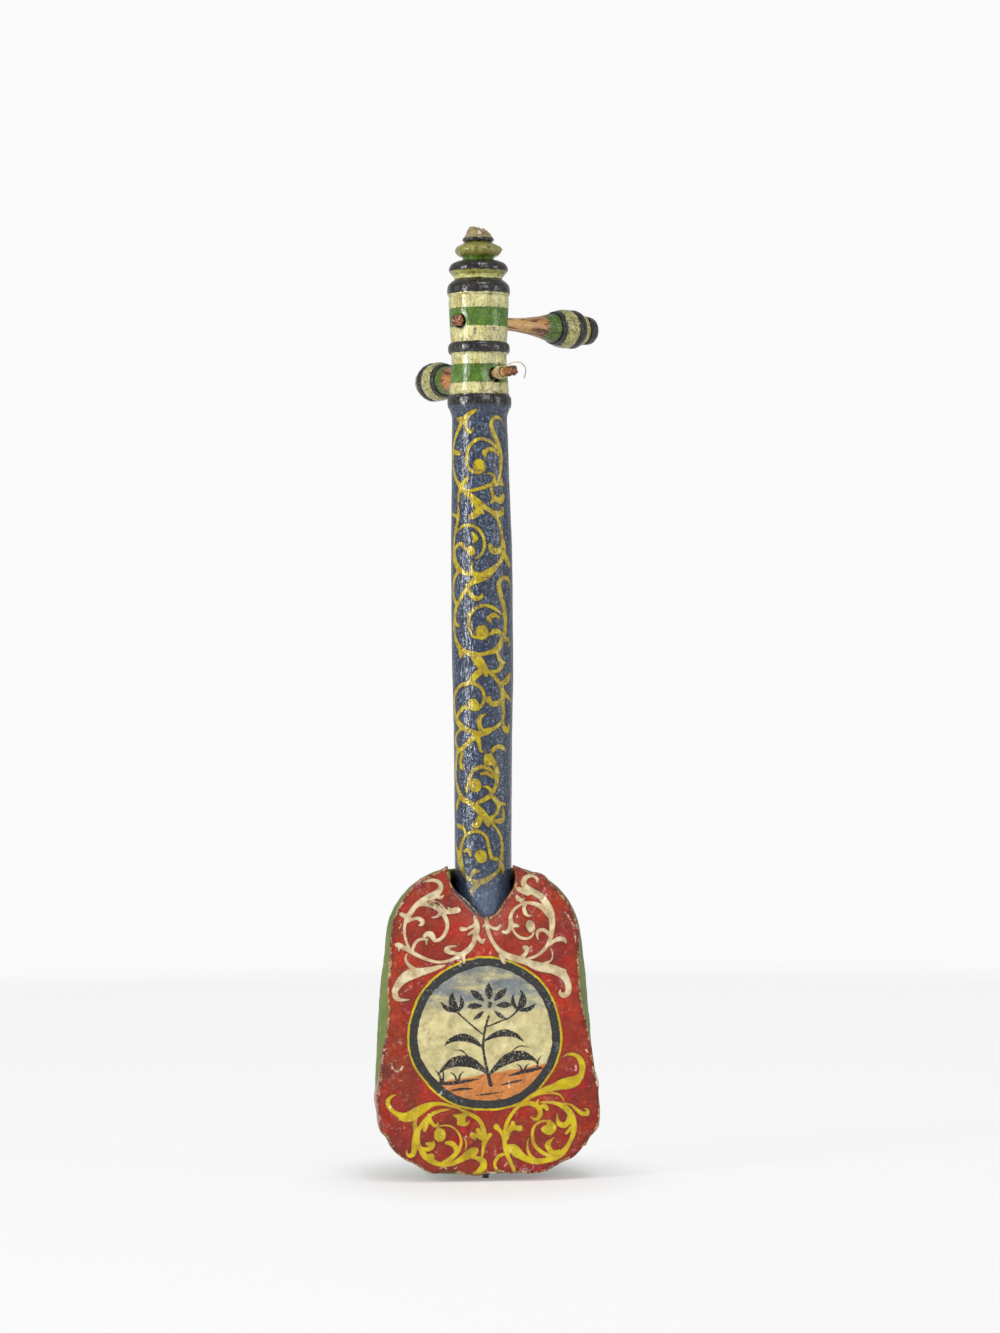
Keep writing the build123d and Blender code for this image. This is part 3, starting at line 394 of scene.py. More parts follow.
NECK_SCROLLS = (
    ((-2.5, 418.9, 1.5), (-6.6, 416.8, 2.9), (-10.7, 413.8, 3.3), (-14.3, 409.4, 2.6),
     (-17.7, 404.2, 2.4), (-20.1, 398.5, 2.5), (-21, 391.8, 2.7), (-19.3, 385.9, 2.4),
     (-16, 380.7, 2.8), (-12.2, 376.8, 3.2)),
    ((-11.3, 414.7, 2.4), (-16.2, 414.5, 1.5)),
    ((-9.1, 413.8, 2.7), (-8.9, 409.6, 2.3), (-7.1, 406.9, 2.1), (-5.1, 407.8, 1.5),
     (-4.7, 409.5, 0.7)),
    ((-19.6, 396.8, 2.7), (-14.1, 395.8, 3)),
    ((15.6, 410.8, 0.7), (13.9, 414, 1.7), (9.6, 415.2, 2.2), (6.4, 412.9, 2.6), (6.7, 408.6, 3.2),
     (8.9, 403.7, 3.3), (11.1, 398.8, 3.5), (12.3, 393.4, 3.2), (12, 387.9, 2.6), (11, 383.3, 2.1),
     (10, 379.6, 3.2)),
    ((11.6, 395.4, 1), (8.1, 399.5, 1.8), (4.1, 402.3, 2), (-0.4, 403.4, 2), (-4.5, 401.8, 2),
     (-7.5, 398, 2.1), (-8.7, 392.9, 1.9), (-7.6, 387.9, 1.9), (-4.4, 385.3, 2), (-1, 384.8, 1.7)),
    ((-1.4, 389, 7), (-0.8, 387.8, 6.3)),
    ((11.6, 394.6, 2.4), (8.3, 397, 2.4), (4.4, 397.6, 2.6), (1.5, 395.7, 3), (2.2, 394.2, 1.7)),
    ((-9, 375.5, 1.8), (-4.5, 375.5, 1.7), (0.7, 376.8, 2.2), (5.5, 378.5, 2.4),
     (10.5, 379.4, 3.4), (13.8, 378.3, 1.5)),
    ((11.1, 379.6, 2.5), (13, 381.7, 0.8)),
    ((6, 378.6, 1.7), (7.2, 382.4, 2.1), (5.3, 384.3, 1.7), (2.6, 384.3, 0.5)),
    ((5, 377.8, 1.9), (5.6, 374.1, 2.1), (7.5, 370.8, 3), (11.4, 370, 3.9), (13.1, 372.3, 3.1)),
    ((6.7, 370.3, 2.6), (4.4, 368, 0.7)),
    ((-12.2, 376.8, 3.2), (-7.6, 373.1, 3.5), (-3.2, 369.5, 3.7), (1, 366.6, 2.8),
     (4.8, 363.8, 2.4), (8.3, 360.4, 2.2), (10.4, 355.4, 2.1), (11.4, 350.4, 2.5),
     (12.2, 345.5, 3.6), (12, 340.9, 3.2), (9.7, 336.7, 2.4), (5.9, 332.9, 3.1), (1.8, 329.7, 4.9),
     (-2.6, 327.3, 4.7), (-6.7, 324.7, 2.9), (-10, 320.6, 2.4), (-13.1, 316.5, 2.5),
     (-16.4, 312.4, 2.7)),
    ((-4.5, 369.5, 4.2), (-1.5, 365.7, 4.2), (-3.7, 362.4, 4), (-6.1, 361.1, 3.4)),
    ((-1.5, 364.9, 3.3), (0.7, 362.6, 1.2)),
    ((5.3, 364.3, 1.9), (8.5, 362.7, 3.1), (11.8, 363.1, 3.4), (12.3, 365.6, 2.2)),
    ((-12.7, 376, 2.9), (-14.8, 373.2, 2.1), (-14.5, 370.2, 1.8), (-15.6, 369.5, 1.1)),
    ((-12.2, 378.1, 3.4), (-9, 381.3, 2.7), (-7.6, 382.9, 1.2)),
    ((-15, 367.3, 1.3), (-14.9, 363.2, 2.5), (-15.7, 358.2, 2.6), (-17.6, 352.4, 2.4),
     (-18.8, 346.6, 2.5), (-18.6, 340.8, 3.7), (-16.5, 335.7, 4), (-12.7, 331.9, 3.1),
     (-8, 330.1, 2.5), (-3, 330, 2.8)),
    ((-15.8, 361.5, 2.6), (-23.4, 363.5, 1.5)),
    ((-15.6, 353.2, 1.1), (-11.5, 356, 1.9), (-6.7, 356.4, 1.9), (-2.4, 354.4, 1.8),
     (0.2, 350.1, 1.8), (0.8, 344.9, 1.7), (-0.9, 340.6, 1.5), (-3.9, 338.3, 1.2)),
    ((-6.7, 343, 5), (-6.4, 342.1, 4.8)),
    ((-5.4, 352.1, 1.7), (-3.7, 349.1, 3), (-5, 347.5, 1.7)),
    ((-18.3, 342.9, 2.4), (-14.9, 346.1, 2.3), (-11.4, 346, 2.6), (-10.1, 343.5, 1.8)),
    ((11.8, 345.4, 2.4), (9.1, 342.5, 3.3), (5.3, 342.5, 3.6), (3.8, 345.5, 2.2)),
    ((12.5, 341.3, 2.6), (14.7, 337.6, 4), (17, 334.9, 3.3)),
    ((-8.9, 323.5, 2.1), (-7.2, 319.5, 2.4), (-4.3, 316.7, 2.9), (-1.5, 317, 2.3),
     (-0.2, 319.6, 0.7)),
    ((-5.3, 337.1, 0.8), (-6.1, 333.8, 1.5), (-5.4, 330.5, 2)),
    ((16.2, 322.9, 0.7), (16.1, 326.4, 2.4), (12.1, 328, 2.6), (8.7, 325.6, 2.7),
     (8.9, 320.9, 3.3), (10.6, 315.5, 3.3), (12.4, 309.6, 3.2), (12.9, 303.8, 2.9),
     (11.9, 297.2, 2.4)),
    ((9.9, 308, 0.9), (6.6, 310.6, 2.1), (2.5, 312.5, 2), (-1.5, 312.5, 2), (-5.1, 310.5, 2),
     (-7.6, 306.4, 1.9), (-8.4, 301.4, 1.8)),
    ((8.4, 306.3, 1.8), (5.3, 307.6, 2.6), (2.8, 305.5, 2.9), (4, 303.8, 1.2)),
    ((-14.1, 331.7, 2.4), (-18, 327.8, 2.6), (-19.8, 322.5, 2.7), (-18.9, 317.4, 2.5),
     (-16.1, 313.2, 2.6)),
    ((-16.1, 313.2, 2.4), (-18.4, 308.7, 3), (-18.2, 304.1, 3.2), (-14.5, 301.9, 1.4)),
    ((-18, 309.9, 1.4), (-19.5, 304.9, 2.1), (-19.1, 299.9, 2.3)),
    ((-16.8, 310.3, 2.1), (-18.9, 305.2, 2.4), (-19.6, 299.9, 2.5), (-17.3, 293.8, 2.9),
     (-13.7, 289.5, 3.5), (-9.1, 287.2, 3.2), (-4.2, 286.3, 3)),
    ((-13.4, 287.7, 4.1), (-13.4, 285.3, 2.5)),
    ((-0.9, 298.8, 6.9), (-0.6, 297.3, 6.6)),
    ((-8, 308.4, 1.8), (-7.7, 304.1, 1.8), (-7.5, 299.8, 1.6), (-5.8, 296.3, 1.8),
     (-2.4, 295.2, 1.7)),
    ((12.1, 308.3, 2.5), (12.9, 304, 2.8), (12.9, 299.7, 2.6), (10.9, 294.5, 3.4),
     (7.5, 289.3, 3.7), (2.5, 287.1, 2.5), (-3.3, 286.1, 2.1)),
    ((10.6, 294.5, 3), (9, 297.8, 2.9), (6.1, 299, 3.1), (3.9, 297.3, 1.9)),
    ((11.1, 294, 2.4), (14.7, 294.5, 2.3), (17.1, 292.3, 1.8), (14.7, 290.1, 0.6)),
    ((-6.8, 286.8, 2.7), (-3.4, 283.3, 5.2), (-0.5, 279, 4.8), (1.2, 275, 2.1)),
    ((-1.7, 277.2, 3.5), (-4.7, 274.7, 3.9), (-6.5, 272.5, 3.6)),
    ((7, 287.6, 2), (8.5, 284.1, 2.5), (10.2, 280.6, 3.2), (7.7, 277.3, 2.4), (3.8, 276.8, 1.9)),
    ((10, 281.5, 2.6), (12.9, 281.6, 1.1)),
    ((2.1, 277.2, 2.1), (6, 273.7, 2.4), (9.5, 269.3, 3.1), (10.9, 264.1, 3.2), (10.6, 258.9, 3.4),
     (11.7, 253.7, 2.3), (10, 249.4, 2.2), (5.4, 246, 2.3), (0.6, 244.2, 4), (-3.9, 242.5, 3.5),
     (-8.4, 239, 2.8), (-12.7, 235.5, 3), (-18.3, 232.8, 2.8)),
    ((9.5, 270.2, 2.7), (13.6, 271.9, 3.7), (16.7, 274.9, 3.3)),
    ((11.1, 265.9, 2.6), (14.3, 263.2, 2.5), (18.5, 261, 2)),
    ((11.1, 262.4, 2.4), (7.9, 259.8, 3.2), (4.3, 259.4, 3.2), (2.2, 261.6, 3), (3.3, 263.2, 1.4)),
    ((11.1, 249.4, 2), (12.3, 245.9, 3.6), (15.4, 245, 4.1), (16.5, 247.6, 2)),
    ((-3.6, 256.1, 1.2), (-0.9, 259.1, 1.7), (0, 263.4, 1.9), (-1.6, 267.9, 1.9),
     (-5.4, 270.3, 2.1), (-10.9, 270.4, 2.1), (-16.6, 267.6, 2.3), (-20.8, 262.1, 3.1),
     (-20.8, 256.5, 3.4), (-18, 250.8, 3.8), (-13.1, 247, 3.5), (-8.3, 244.8, 2.7),
     (-3.8, 243.5, 2.6)),
    ((-6.1, 259.5, 5.9), (-5.4, 258.2, 5.8)),
    ((-17.9, 252.1, 2.5), (-14.1, 255.6, 2.5), (-11.1, 257.8, 2.5), (-9.1, 256.5, 1.9)),
    ((-7, 271.7, 3.2), (-10.9, 269.5, 1.9)),
    ((-2, 245.2, 2.6), (-2.8, 249.6, 2.6), (-1.9, 252.5, 2.3), (1, 253.7, 0.7)),
    ((-3.8, 242.6, 3.8), (-2.8, 237.4, 2.3), (-2.1, 233.8, 1.6), (0, 233.3, 0.5)),
    ((-13.1, 246.1, 1.6), (-17.9, 243.3, 2), (-20.2, 239.1, 2.9), (-17.7, 234.6, 3.2)),
    ((-18.3, 232.8, 3.1), (-19.8, 227.8, 3.1), (-20.6, 222.5, 2.7), (-19.9, 217.3, 2.6),
     (-17.2, 212.2, 2.9), (-13.6, 207.9, 3.3), (-8.9, 205.8, 3), (-4.6, 203.3, 3.9),
     (-0.7, 199.4, 4.3), (2.9, 195.7, 2.6), (6.7, 191.9, 1.5), (9.9, 187, 2), (11, 180.9, 2.4),
     (10.1, 174.8, 2.4), (9.3, 169.7, 2.5)),
    ((-13.4, 232.2, 2.5), (-15.2, 228.7, 2.8), (-14.4, 225.3, 3.2), (-12, 224, 1.6)),
    ((2.9, 196.7, 1.8), (6.7, 195.6, 2.4), (10.8, 196.1, 3.4), (11.7, 200.4, 2.5),
     (11, 202.6, 1.2)),
    ((-2.4, 197.6, 3.5), (-4.3, 193.7, 3.9), (-6.6, 193.7, 1.8)),
    ((1.1, 195.9, 3.5), (2.4, 192.8, 1.2)),
    ((-16.1, 208.7, 2.7), (-18.9, 204.3, 2.6), (-19, 201.7, 1.1)),
    ((13.4, 232.4, 0.5), (11.7, 235.3, 2.3), (7.3, 236, 2.6), (4.2, 233.5, 2.3)),
    ((3.1, 231.3, 2.6), (5.8, 227, 2.7), (7.4, 221.7, 3.2), (6.8, 215.7, 2.6), (4.4, 211, 2.5),
     (0.3, 207.6, 2.6), (-4.2, 205.6, 1.9)),
    ((1.3, 231.4, 2.6), (1.3, 228.3, 3.8), (3.3, 227, 2.6)),
    ((6.3, 219.6, 0.9), (3.2, 223.5, 2.1), (-1.3, 225.2, 2.3), (-5.6, 223.6, 2.1),
     (-8.5, 219.7, 2.2), (-9.8, 215.4, 2.1), (-10.4, 211.9, 1.9)),
    ((-5.4, 215.6, 6.9), (-5, 214.8, 6.9)),
    ((4.9, 219.6, 1.8), (1.3, 221.8, 2.1), (-1.8, 221.4, 1.6)),
    ((4.4, 211.4, 2.1), (2.1, 214, 1.9), (-0.5, 214.5, 0.9)),
    ((3.9, 209.2, 2.1), (6.9, 206.6, 2.8), (8.3, 202.6, 2.5), (6.2, 199.2, 2), (2.9, 197.1, 1.8)),
    ((7.7, 205.3, 2.8), (13, 204.7, 1.9)),
    ((-18, 193, 3), (-13, 191.9, 2.4), (-11.6, 188.9, 1.8)),
    ((-14.6, 183.6, 1.5), (-11.6, 187.8, 2), (-6.7, 190, 2), (-2.1, 189.7, 1.9), (1.2, 186.5, 1.9),
     (2.6, 181.1, 1.9), (4.2, 175.9, 2.5), (7.7, 174.9, 2.2)),
    ((-11.6, 188, 1.6), (-14.2, 183.6, 2.7), (-15.7, 178.3, 3.6), (-14.8, 173.2, 3),
     (-13.2, 169.1, 2.9)),
    ((-21.4, 182.5, 1.6), (-18, 178.3, 2.7), (-14.8, 174.9, 2.6)),
    ((-12.1, 179.3, 2), (-9.3, 180.3, 2.1), (-8.3, 176.8, 1.6)),
    ((-2.2, 177, 6.8), (-1.7, 176.2, 6.6)),
    ((-17.7, 177.9, 3.3), (-17.1, 174.4, 3.6), (-15.3, 170.9, 3.3), (-12.6, 166.6, 2.9),
     (-8.8, 163.7, 2.6), (-3.9, 162.4, 3.3), (0.4, 163.5, 3.1), (4.5, 165.7, 2.7),
     (9.1, 169.1, 2.1), (10.9, 173.2, 2), (10.9, 176.7, 2)),
    ((-3.9, 161.4, 3), (-6.5, 159.2, 3.3), (-7.5, 157, 2.8), (-6.4, 154.4, 0.7)),
    ((-8.5, 164.6, 1.2), (-7.1, 167.3, 2.4), (-4.5, 169.1, 3), (-2.9, 168.8, 1.8)),
    ((10.3, 172.6, 2.7), (11.7, 169.6, 3.1), (11.9, 167.7, 2.3)),
)

# the round picture on the skin
PICTURE_CENTRE = (-0.4, 80.2)
PICTURE_R = 36.4
BLACK_RING_R = 40.9
YELLOW_RING_R = 42.0
RING_SOFT = 0.12
RING_WOBBLE = ((0.35, 3, 0.7), (0.25, 7, 0))  # (depth, times round, turned by)
HORIZON = ((-24.1, 54.7), (29.2, 63.1))

PICTURE_INK = (
    ((2.4, 52.6, 2.2), (1.2, 58, 1.8), (-0.6, 66, 1.5), (-1.6, 74, 1.3), (-0.6, 82, 1.2),
     (1.6, 90, 1.2)),
    ((0.9, 58.6, 1), (-3.6, 62.4, 3.4), (-9.6, 65.4, 6), (-16.4, 65.6, 5.6), (-22.4, 62.4, 2.6),
     (-26.4, 58.6, 0.6)),
    ((1, 57.6, 1), (6, 62.6, 3.2), (12, 66.8, 5.8), (18.8, 68.4, 5.4), (24.8, 66.8, 2.4),
     (28.4, 64, 0.6)),
    ((-1.4, 72.6, 0.8), (-6.4, 76.6, 3), (-12.4, 78.6, 4.2), (-18.6, 77.4, 2.6),
     (-22.4, 74.6, 0.6)),
    ((-1.2, 76.4, 0.8), (4.2, 79.4, 2.8), (10.4, 80.8, 4), (16.6, 79.2, 2.4), (20.4, 76, 0.6)),
    ((-1.4, 80, 0.8), (-7, 84.6, 1), (-12.6, 89.6, 0.9), (-15.6, 92.6, 1.2)),
    ((-0.9, 83.6, 0.8), (6, 86.4, 1), (13.4, 89.4, 0.9), (17.6, 93.4, 1.2)),
    ((-15.4, 92.4, 1.6), (-17.6, 96.4, 4.4), (-18.4, 100.4, 2.6), (-17.6, 103, 0.5)),
    ((-16.4, 92.8, 1.2), (-21, 94.4, 2.6), (-24.4, 97.8, 0.6)),
    ((-14.6, 93, 1.2), (-12.8, 96.8, 2.4), (-13.6, 101.2, 0.6)),
    ((17.8, 93.4, 1.6), (20, 97.2, 4.2), (20.2, 101.2, 2.4), (18.8, 103.8, 0.5)),
    ((18.6, 93, 1.2), (23.4, 93.6, 2.6), (27, 96.4, 0.6)),
    ((16.8, 94, 1.2), (14.8, 97.4, 2.2), (15, 101.4, 0.6)),
    ((2, 95.4, 2), (2.2, 96.6, 2.6)),
    ((2, 99.4, 1), (1.8, 103.4, 4.2), (1.6, 107.6, 1)),
    ((5, 98.6, 1), (8.2, 101.8, 3.8), (11.2, 104.8, 0.8)),
    ((-1.2, 98.4, 1), (-4.6, 101.4, 3.8), (-8, 104, 0.8)),
    ((6.2, 95.8, 1), (10.2, 96, 3.4), (14, 96, 0.8)),
    ((-2.2, 95.6, 1), (-6.2, 95.6, 3.4), (-10, 95.2, 0.8)),
    ((4.8, 92.8, 0.8), (7.6, 90.4, 2.4), (10.6, 88.8, 0.6)),
    ((-1.2, 92.6, 0.8), (-3.8, 90.2, 2.4), (-6.6, 88.4, 0.6)),
    ((-9.4, 67.8, 0.5), (-13, 71.4, 0.8), (-17.8, 72, 0.4)),
    ((14, 70.8, 0.5), (18.4, 73.6, 0.8), (23.4, 72.8, 0.4)),
    ((-24.6, 55, 1.3), (-25.4, 58.4, 0.9), (-27.6, 61.2, 0.4)),
    ((-23.6, 55, 1.3), (-23.2, 58.8, 0.9), (-23.8, 61.4, 0.4)),
    ((-16, 54.6, 1.4), (-17.2, 58.2, 0.9), (-19.6, 59.8, 0.4)),
    ((-15, 54.6, 1.4), (-14.2, 58.4, 1), (-12.2, 60, 0.4)),
    ((-26, 54, 1.6), (-20, 53.8, 2), (-12, 54.8, 1.6), (-4, 56, 0.6)),
    ((12, 57.4, 0.6), (18, 59, 1.8), (24.4, 60.4, 2), (30, 61.6, 1.2)),
    ((19.4, 59.6, 1.4), (18.6, 62.4, 0.9), (16.6, 64, 0.4)),
    ((20.6, 59.8, 1.4), (21.8, 62.8, 0.9), (23.6, 63.8, 0.4)),
    ((27.8, 61.4, 1.2), (28.2, 65.4, 0.9), (30.4, 68.4, 0.4)),
    ((-20, 49.6, 0.5), (-14, 50.6, 1.4), (-7, 50.8, 0.5)),
    ((8, 52.4, 0.5), (14, 54, 1.3), (21, 55.4, 0.5)),
    ((-6, 47.2, 0.4), (1, 47.8, 1), (9, 48.8, 0.4)),
)

# bare leather and chips: points (across, up, width)
SKIN_CHIPS = (
    ((-51.3, 65, 0.5), (-50.6, 62.4, 0.7), (-48.9, 60.9, 0.9), (-47.2, 60.6, 0.8)),
    ((-46.6, 61.6, 1.2), (-45.4, 62.8, 1), (-45.6, 64.6, 0.6)),
    ((-44.6, 67, 0.4), (-43.6, 68.8, 0.7), (-42.6, 69.6, 0.4)),
    ((-49, 57.4, 0.3), (-47.4, 56, 0.5), (-45.8, 55.6, 0.3)),
    ((43.1, 146.4, 0.5), (44.6, 144.8, 0.9), (46.8, 141, 0.7), (48.3, 138.4, 0.9)),
    ((48.6, 135.4, 0.3), (49, 132, 0.6), (49.2, 128.6, 0.3)),
    ((54.4, 71, 0.9), (55, 70.2, 1.3)),
    ((60, 57, 1.1), (60.6, 54, 1.7), (60.4, 51, 1)),
    ((-47, 142.6, 0.4), (-45.6, 140.4, 0.6), (-46.6, 137.8, 0.4)),
    ((-43, 136.8, 0.3), (-45.2, 135.6, 0.5)),
    ((-25.8, 7.6, 0.7), (-23.4, 8.4, 0.9), (-21.6, 7.2, 0.6)),
    ((-17.6, 7.6, 0.8), (-16.2, 8.4, 0.6)),
    ((2.4, 5, 0.8), (6.2, 4.4, 1), (9.6, 4.2, 0.6)),
)
FOLD_CHIP = SKIN_CHIPS[4]
# crumpled corners of the skin, with painted sheen and painted shade on them: (centre, reach)
SKIN_SHEEN_SPOTS = (
    ((46.5, 0.0, 142.5), 9.0), ((-36.0, 0.0, 163.0), 8.0), ((-53.5, 0.0, 62.0), 8.0),
    ((-27.0, 0.0, 150.0), 7.0), ((30.0, 0.0, 158.0), 7.0),
)

# the neck's blue, carried over the left flank of the notch
BLUE_OVER_EDGE = (
    ((-16.4, 158.6, 0.8), (-14.2, 156.2, 2), (-10.8, 153.2, 2.6), (-6.6, 149, 2.8),
     (-3.4, 145.8, 2.4), (-0.6, 144.2, 1.2)),
)

# ---------------------------------------------------------------- stage, in metres

STAGE_SIZE = 16.0
WHITE = (1.0, 1.0, 1.0, 1.0)
STUDIO_WHITE = 0.96
ROOM_IN_GLOSS = 0.3  # how much of the white room shows in glossy paint
FLOOR_IN_GLOSS = 0.5
FLOOR_UNDER = 0.24  # how much of the floor is plain white right under the lute
FLOOR_NEAR = 0.90  # and beside it
FOOT_FADE = (30.0, 115.0)  # from where to where it changes from the one to the other, in mm
FLOOR_FADE = (100.0, 1500.0)  # and from where to where it turns wholly white
EYE_DISTANCE = 1.915
EYE_TURN = 3.0
EYE_ROLL = 0.46
AIM_ASIDE = 0.0101
AIM_HEIGHT = 0.2796
LENS = 94.52
FILM_HEIGHT = 36.0
# lamps: name, its setting, place, height it aims at, width, height
LAMPS = (
    ("left softbox", "left_power", (-1.58, -0.86, 0.62), 0.3, 0.26, 1.7),
    ("front fill", "front_power", (0.9, -2.2, 1.25), 0.3, 1.0, 1.0),
    ("right fill", "right_power", (1.9, -0.75, 0.6), 0.3, 0.6, 1.5),
    ("top", "top_power", (0.3, -0.75, 1.75), 0.25, 0.6, 0.45),
)


# ---------------------------------------------------------------- curves and distances


def smooth_run(points, step):
    """Points along a smooth curve through the given ones, about a step apart."""
    points = np.array(points, float)
    if len(points) == 2:
        count = max(1, round(np.linalg.norm(points[1] - points[0]) / step))
        return points[0] + np.linspace(0, 1, count + 1)[:, None] * (points[1] - points[0])
    padded = np.vstack((2 * points[0] - points[1], points, 2 * points[-1] - points[-2]))
    rows = [points[:1]]
    for a, b, c, d in zip(padded, padded[1:], padded[2:], padded[3:]):
        count = max(2, round(np.linalg.norm((c - b)[:2]) / step))
        t = (np.arange(count) + 1)[:, None] / count
        rows.append(
            0.5 * (2 * b + (c - a) * t + (2 * a - 5 * b + 4 * c - d) * t**2
                   + (3 * b - a - 3 * c + d) * t**3)
        )
    return np.vstack(rows)


def evenly(points, count):
    """The same path as count + 1 points at equal distances."""
    points = np.array(points, float)
    along = np.concatenate(([0], np.cumsum(np.linalg.norm(np.diff(points, axis=0), axis=1))))
    wanted = np.linspace(0, along[-1], count + 1)
    return np.column_stack([np.interp(wanted, along, column) for column in points.T])


def rise(values, low, high):
    """Straight up from 0 at low to 1 at high, or down again where low is the greater."""
    return np.clip((values - low) / (high - low), 0, 1)


def hump(values, reach):
    """1 at nought, falling off in a bell of about this reach."""
    return np.exp(-((values / reach) ** 2))


def paint_distance(places, strokes):
    """How far each place is outside the nearest brush stroke; below nought inside it."""
    nearest = np.full(len(places), FAR_FROM_PAINT)
    for stroke in strokes:
        line = smooth_run(stroke, STROKE_STEP)
        half = np.maximum(line[:, 2] / 2, LEAST_HALF_WIDTH)
        reach = half.max() + FAR_FROM_PAINT
        low, high = line[:, :2].min(0) - reach, line[:, :2].max(0) + reach
        near = np.flatnonzero(np.all((places > low) & (places < high), axis=1))
        if not len(near):
            continue
        here = places[near]
        best = np.full(len(near), FAR_FROM_PAINT)
        for a, b, wide_a, wide_b in zip(line[:, :2], line[1:, :2], half, half[1:]):
            run = b - a
            share = np.clip((here - a) @ run / max(run @ run, 1e-9), 0, 1)
            away = np.hypot(*(here - a - share[:, None] * run).T)
            best = np.minimum(best, away - wide_a - share * (wide_b - wide_a))
        nearest[near] = np.minimum(nearest[near], best)
    return nearest


def ripple(places, length, seed):
    """A smooth uneven height from about -1 to 1, with bumps of about the given length."""
    chance = np.random.default_rng(seed)
    total = np.zeros(len(places))
    for _ in range(RIPPLE_WAVES):
        way = chance.normal(size=places.shape[1])
        way *= tau / (length * chance.uniform(0.7, 1.6) * np.linalg.norm(way))
        total += np.sin(places @ way + chance.uniform(0, tau))
    return total / RIPPLE_WAVES**0.5 / RIPPLE_PEAK


def waved(places, waves, seed=0):
    """Waves of hand work: (depth, length, how far drawn out upwards, seed) for each."""
    return sum(depth * ripple(places * (1, 1, drawn), length, seed + own)
               for depth, length, drawn, own in waves)


def knocked(places, knock, flat_share, seed=0):
    """Knocks: what stands out of a wave over its flat share."""
    depth, length, drawn, own = knock
    return depth * np.maximum(0, ripple(places * (1, 1, drawn), length, seed + own) - flat_share)


# ---------------------------------------------------------------- meshes


def add_object(name, data):
    thing = bpy.data.objects.new(name, data)
    bpy.context.collection.objects.link(thing)
    return thing


def add_mesh(name, places, edges, faces):
    """A new object from places in millimetres."""
    mesh = bpy.data.meshes.new(name)
    mesh.from_pydata([tuple(value * MM for value in place) for place in places], edges, faces)
    return add_object(name, mesh)


def select_only(piece):
    bpy.ops.object.select_all(action="DESELECT")
    piece.select_set(True)
    bpy.context.view_layer.objects.active = piece


def start_editing(piece, choose="SELECT"):
    """Edit mode on one piece, with all or nothing selected, or what was before."""
    select_only(piece)
    bpy.ops.object.mode_set(mode="EDIT")
    if choose:
        bpy.ops.mesh.select_all(action=choose)


def stop_editing():
    bpy.ops.object.mode_set(mode="OBJECT")


def mesh_places(piece):
    """A piece's vertices as an array, in millimetres."""
    places = np.empty(len(piece.data.vertices) * 3, np.float32)
    piece.data.vertices.foreach_get("co", places)
    return places.reshape(-1, 3).astype(float) / MM


def move_to(piece, places):
    """Puts a piece's vertices at these places, in millimetres."""
    piece.data.vertices.foreach_set("co", (places * MM).astype(np.float32).ravel())
    piece.data.update()


def keep_value(piece, name, values):
    """Stores a number, or a vector, on each vertex for the materials to read."""
    kind, field = ("FLOAT", "value") if values.ndim == 1 else ("FLOAT_VECTOR", "vector")
    attribute = piece.data.attributes.new(name, kind, "POINT")
    attribute.data.foreach_set(field, values.astype(np.float32).ravel())


def turned(name, runs, row_lengths, columns):
    """A shape turned on a lathe about Z from runs of (radius, height), closed at both ends."""
    rows = [(0.0, runs[0][0][1])]
    for run, step in zip(runs, row_lengths):
        rows.extend(tuple(point) for point in smooth_run(run, step)[1:])
    edges = [(i, i + 1) for i in range(len(rows) - 1)]
    piece = add_mesh(name, [(r, 0, z) for r, z in rows], edges, [])
    start_editing(piece)
    bpy.ops.mesh.spin(steps=columns, angle=tau, center=(0, 0, 0), axis=(0, 0, 1))
    bpy.ops.mesh.select_all(action="SELECT")
    bpy.ops.mesh.remove_doubles(threshold=WELD_TURNED * MM)
    bpy.ops.mesh.normals_make_consistent(inside=False)
    stop_editing()
    return piece


def from_axis(places):
    """Distances from the Z axis, and directions straight out from it."""
    radius = np.hypot(places[:, 0], places[:, 1])
    return radius, places * (1, 1, 0) / np.maximum(radius, 1e-6)[:, None]


def smooth_shaded(piece, degrees=40):
    select_only(piece)
    bpy.ops.object.shade_smooth_by_angle(angle=radians(degrees))


def finish_piece(piece, body, slot, material, *nodes):
    """Gives a finished piece its material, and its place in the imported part."""
    piece.data.materials.clear()
    piece.data.materials.append(material)
    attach(piece, body)
    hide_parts(*nodes)


# ---------------------------------------------------------------- materials


# colours in the usual 0 to 255 steps
CREAM = (210, 205, 146)
OLIVE_CREAM = (142, 140, 70)
GREEN = (78, 120, 24)
BLACK = (24, 24, 27)
BROWN = (92, 62, 34)
BARE_WOOD = (190, 140, 82)
PEG_CREAM = (172, 168, 108)


def tone(*colour):
    """A colour as Blender wants it, from 0 to 255 steps; a setting's colour stays as it is."""
    if len(colour) == 4:
        return colour
    steps = (value / 255 for value in colour)
    return (*(s / 12.92 if s < 0.04045 else ((s + 0.055) / 1.055) ** 2.4 for s in steps), 1.0)


def chosen(name):
    """A paint colour from the panel."""
    return tuple(getattr(bpy.context.scene.lute_colours, name))


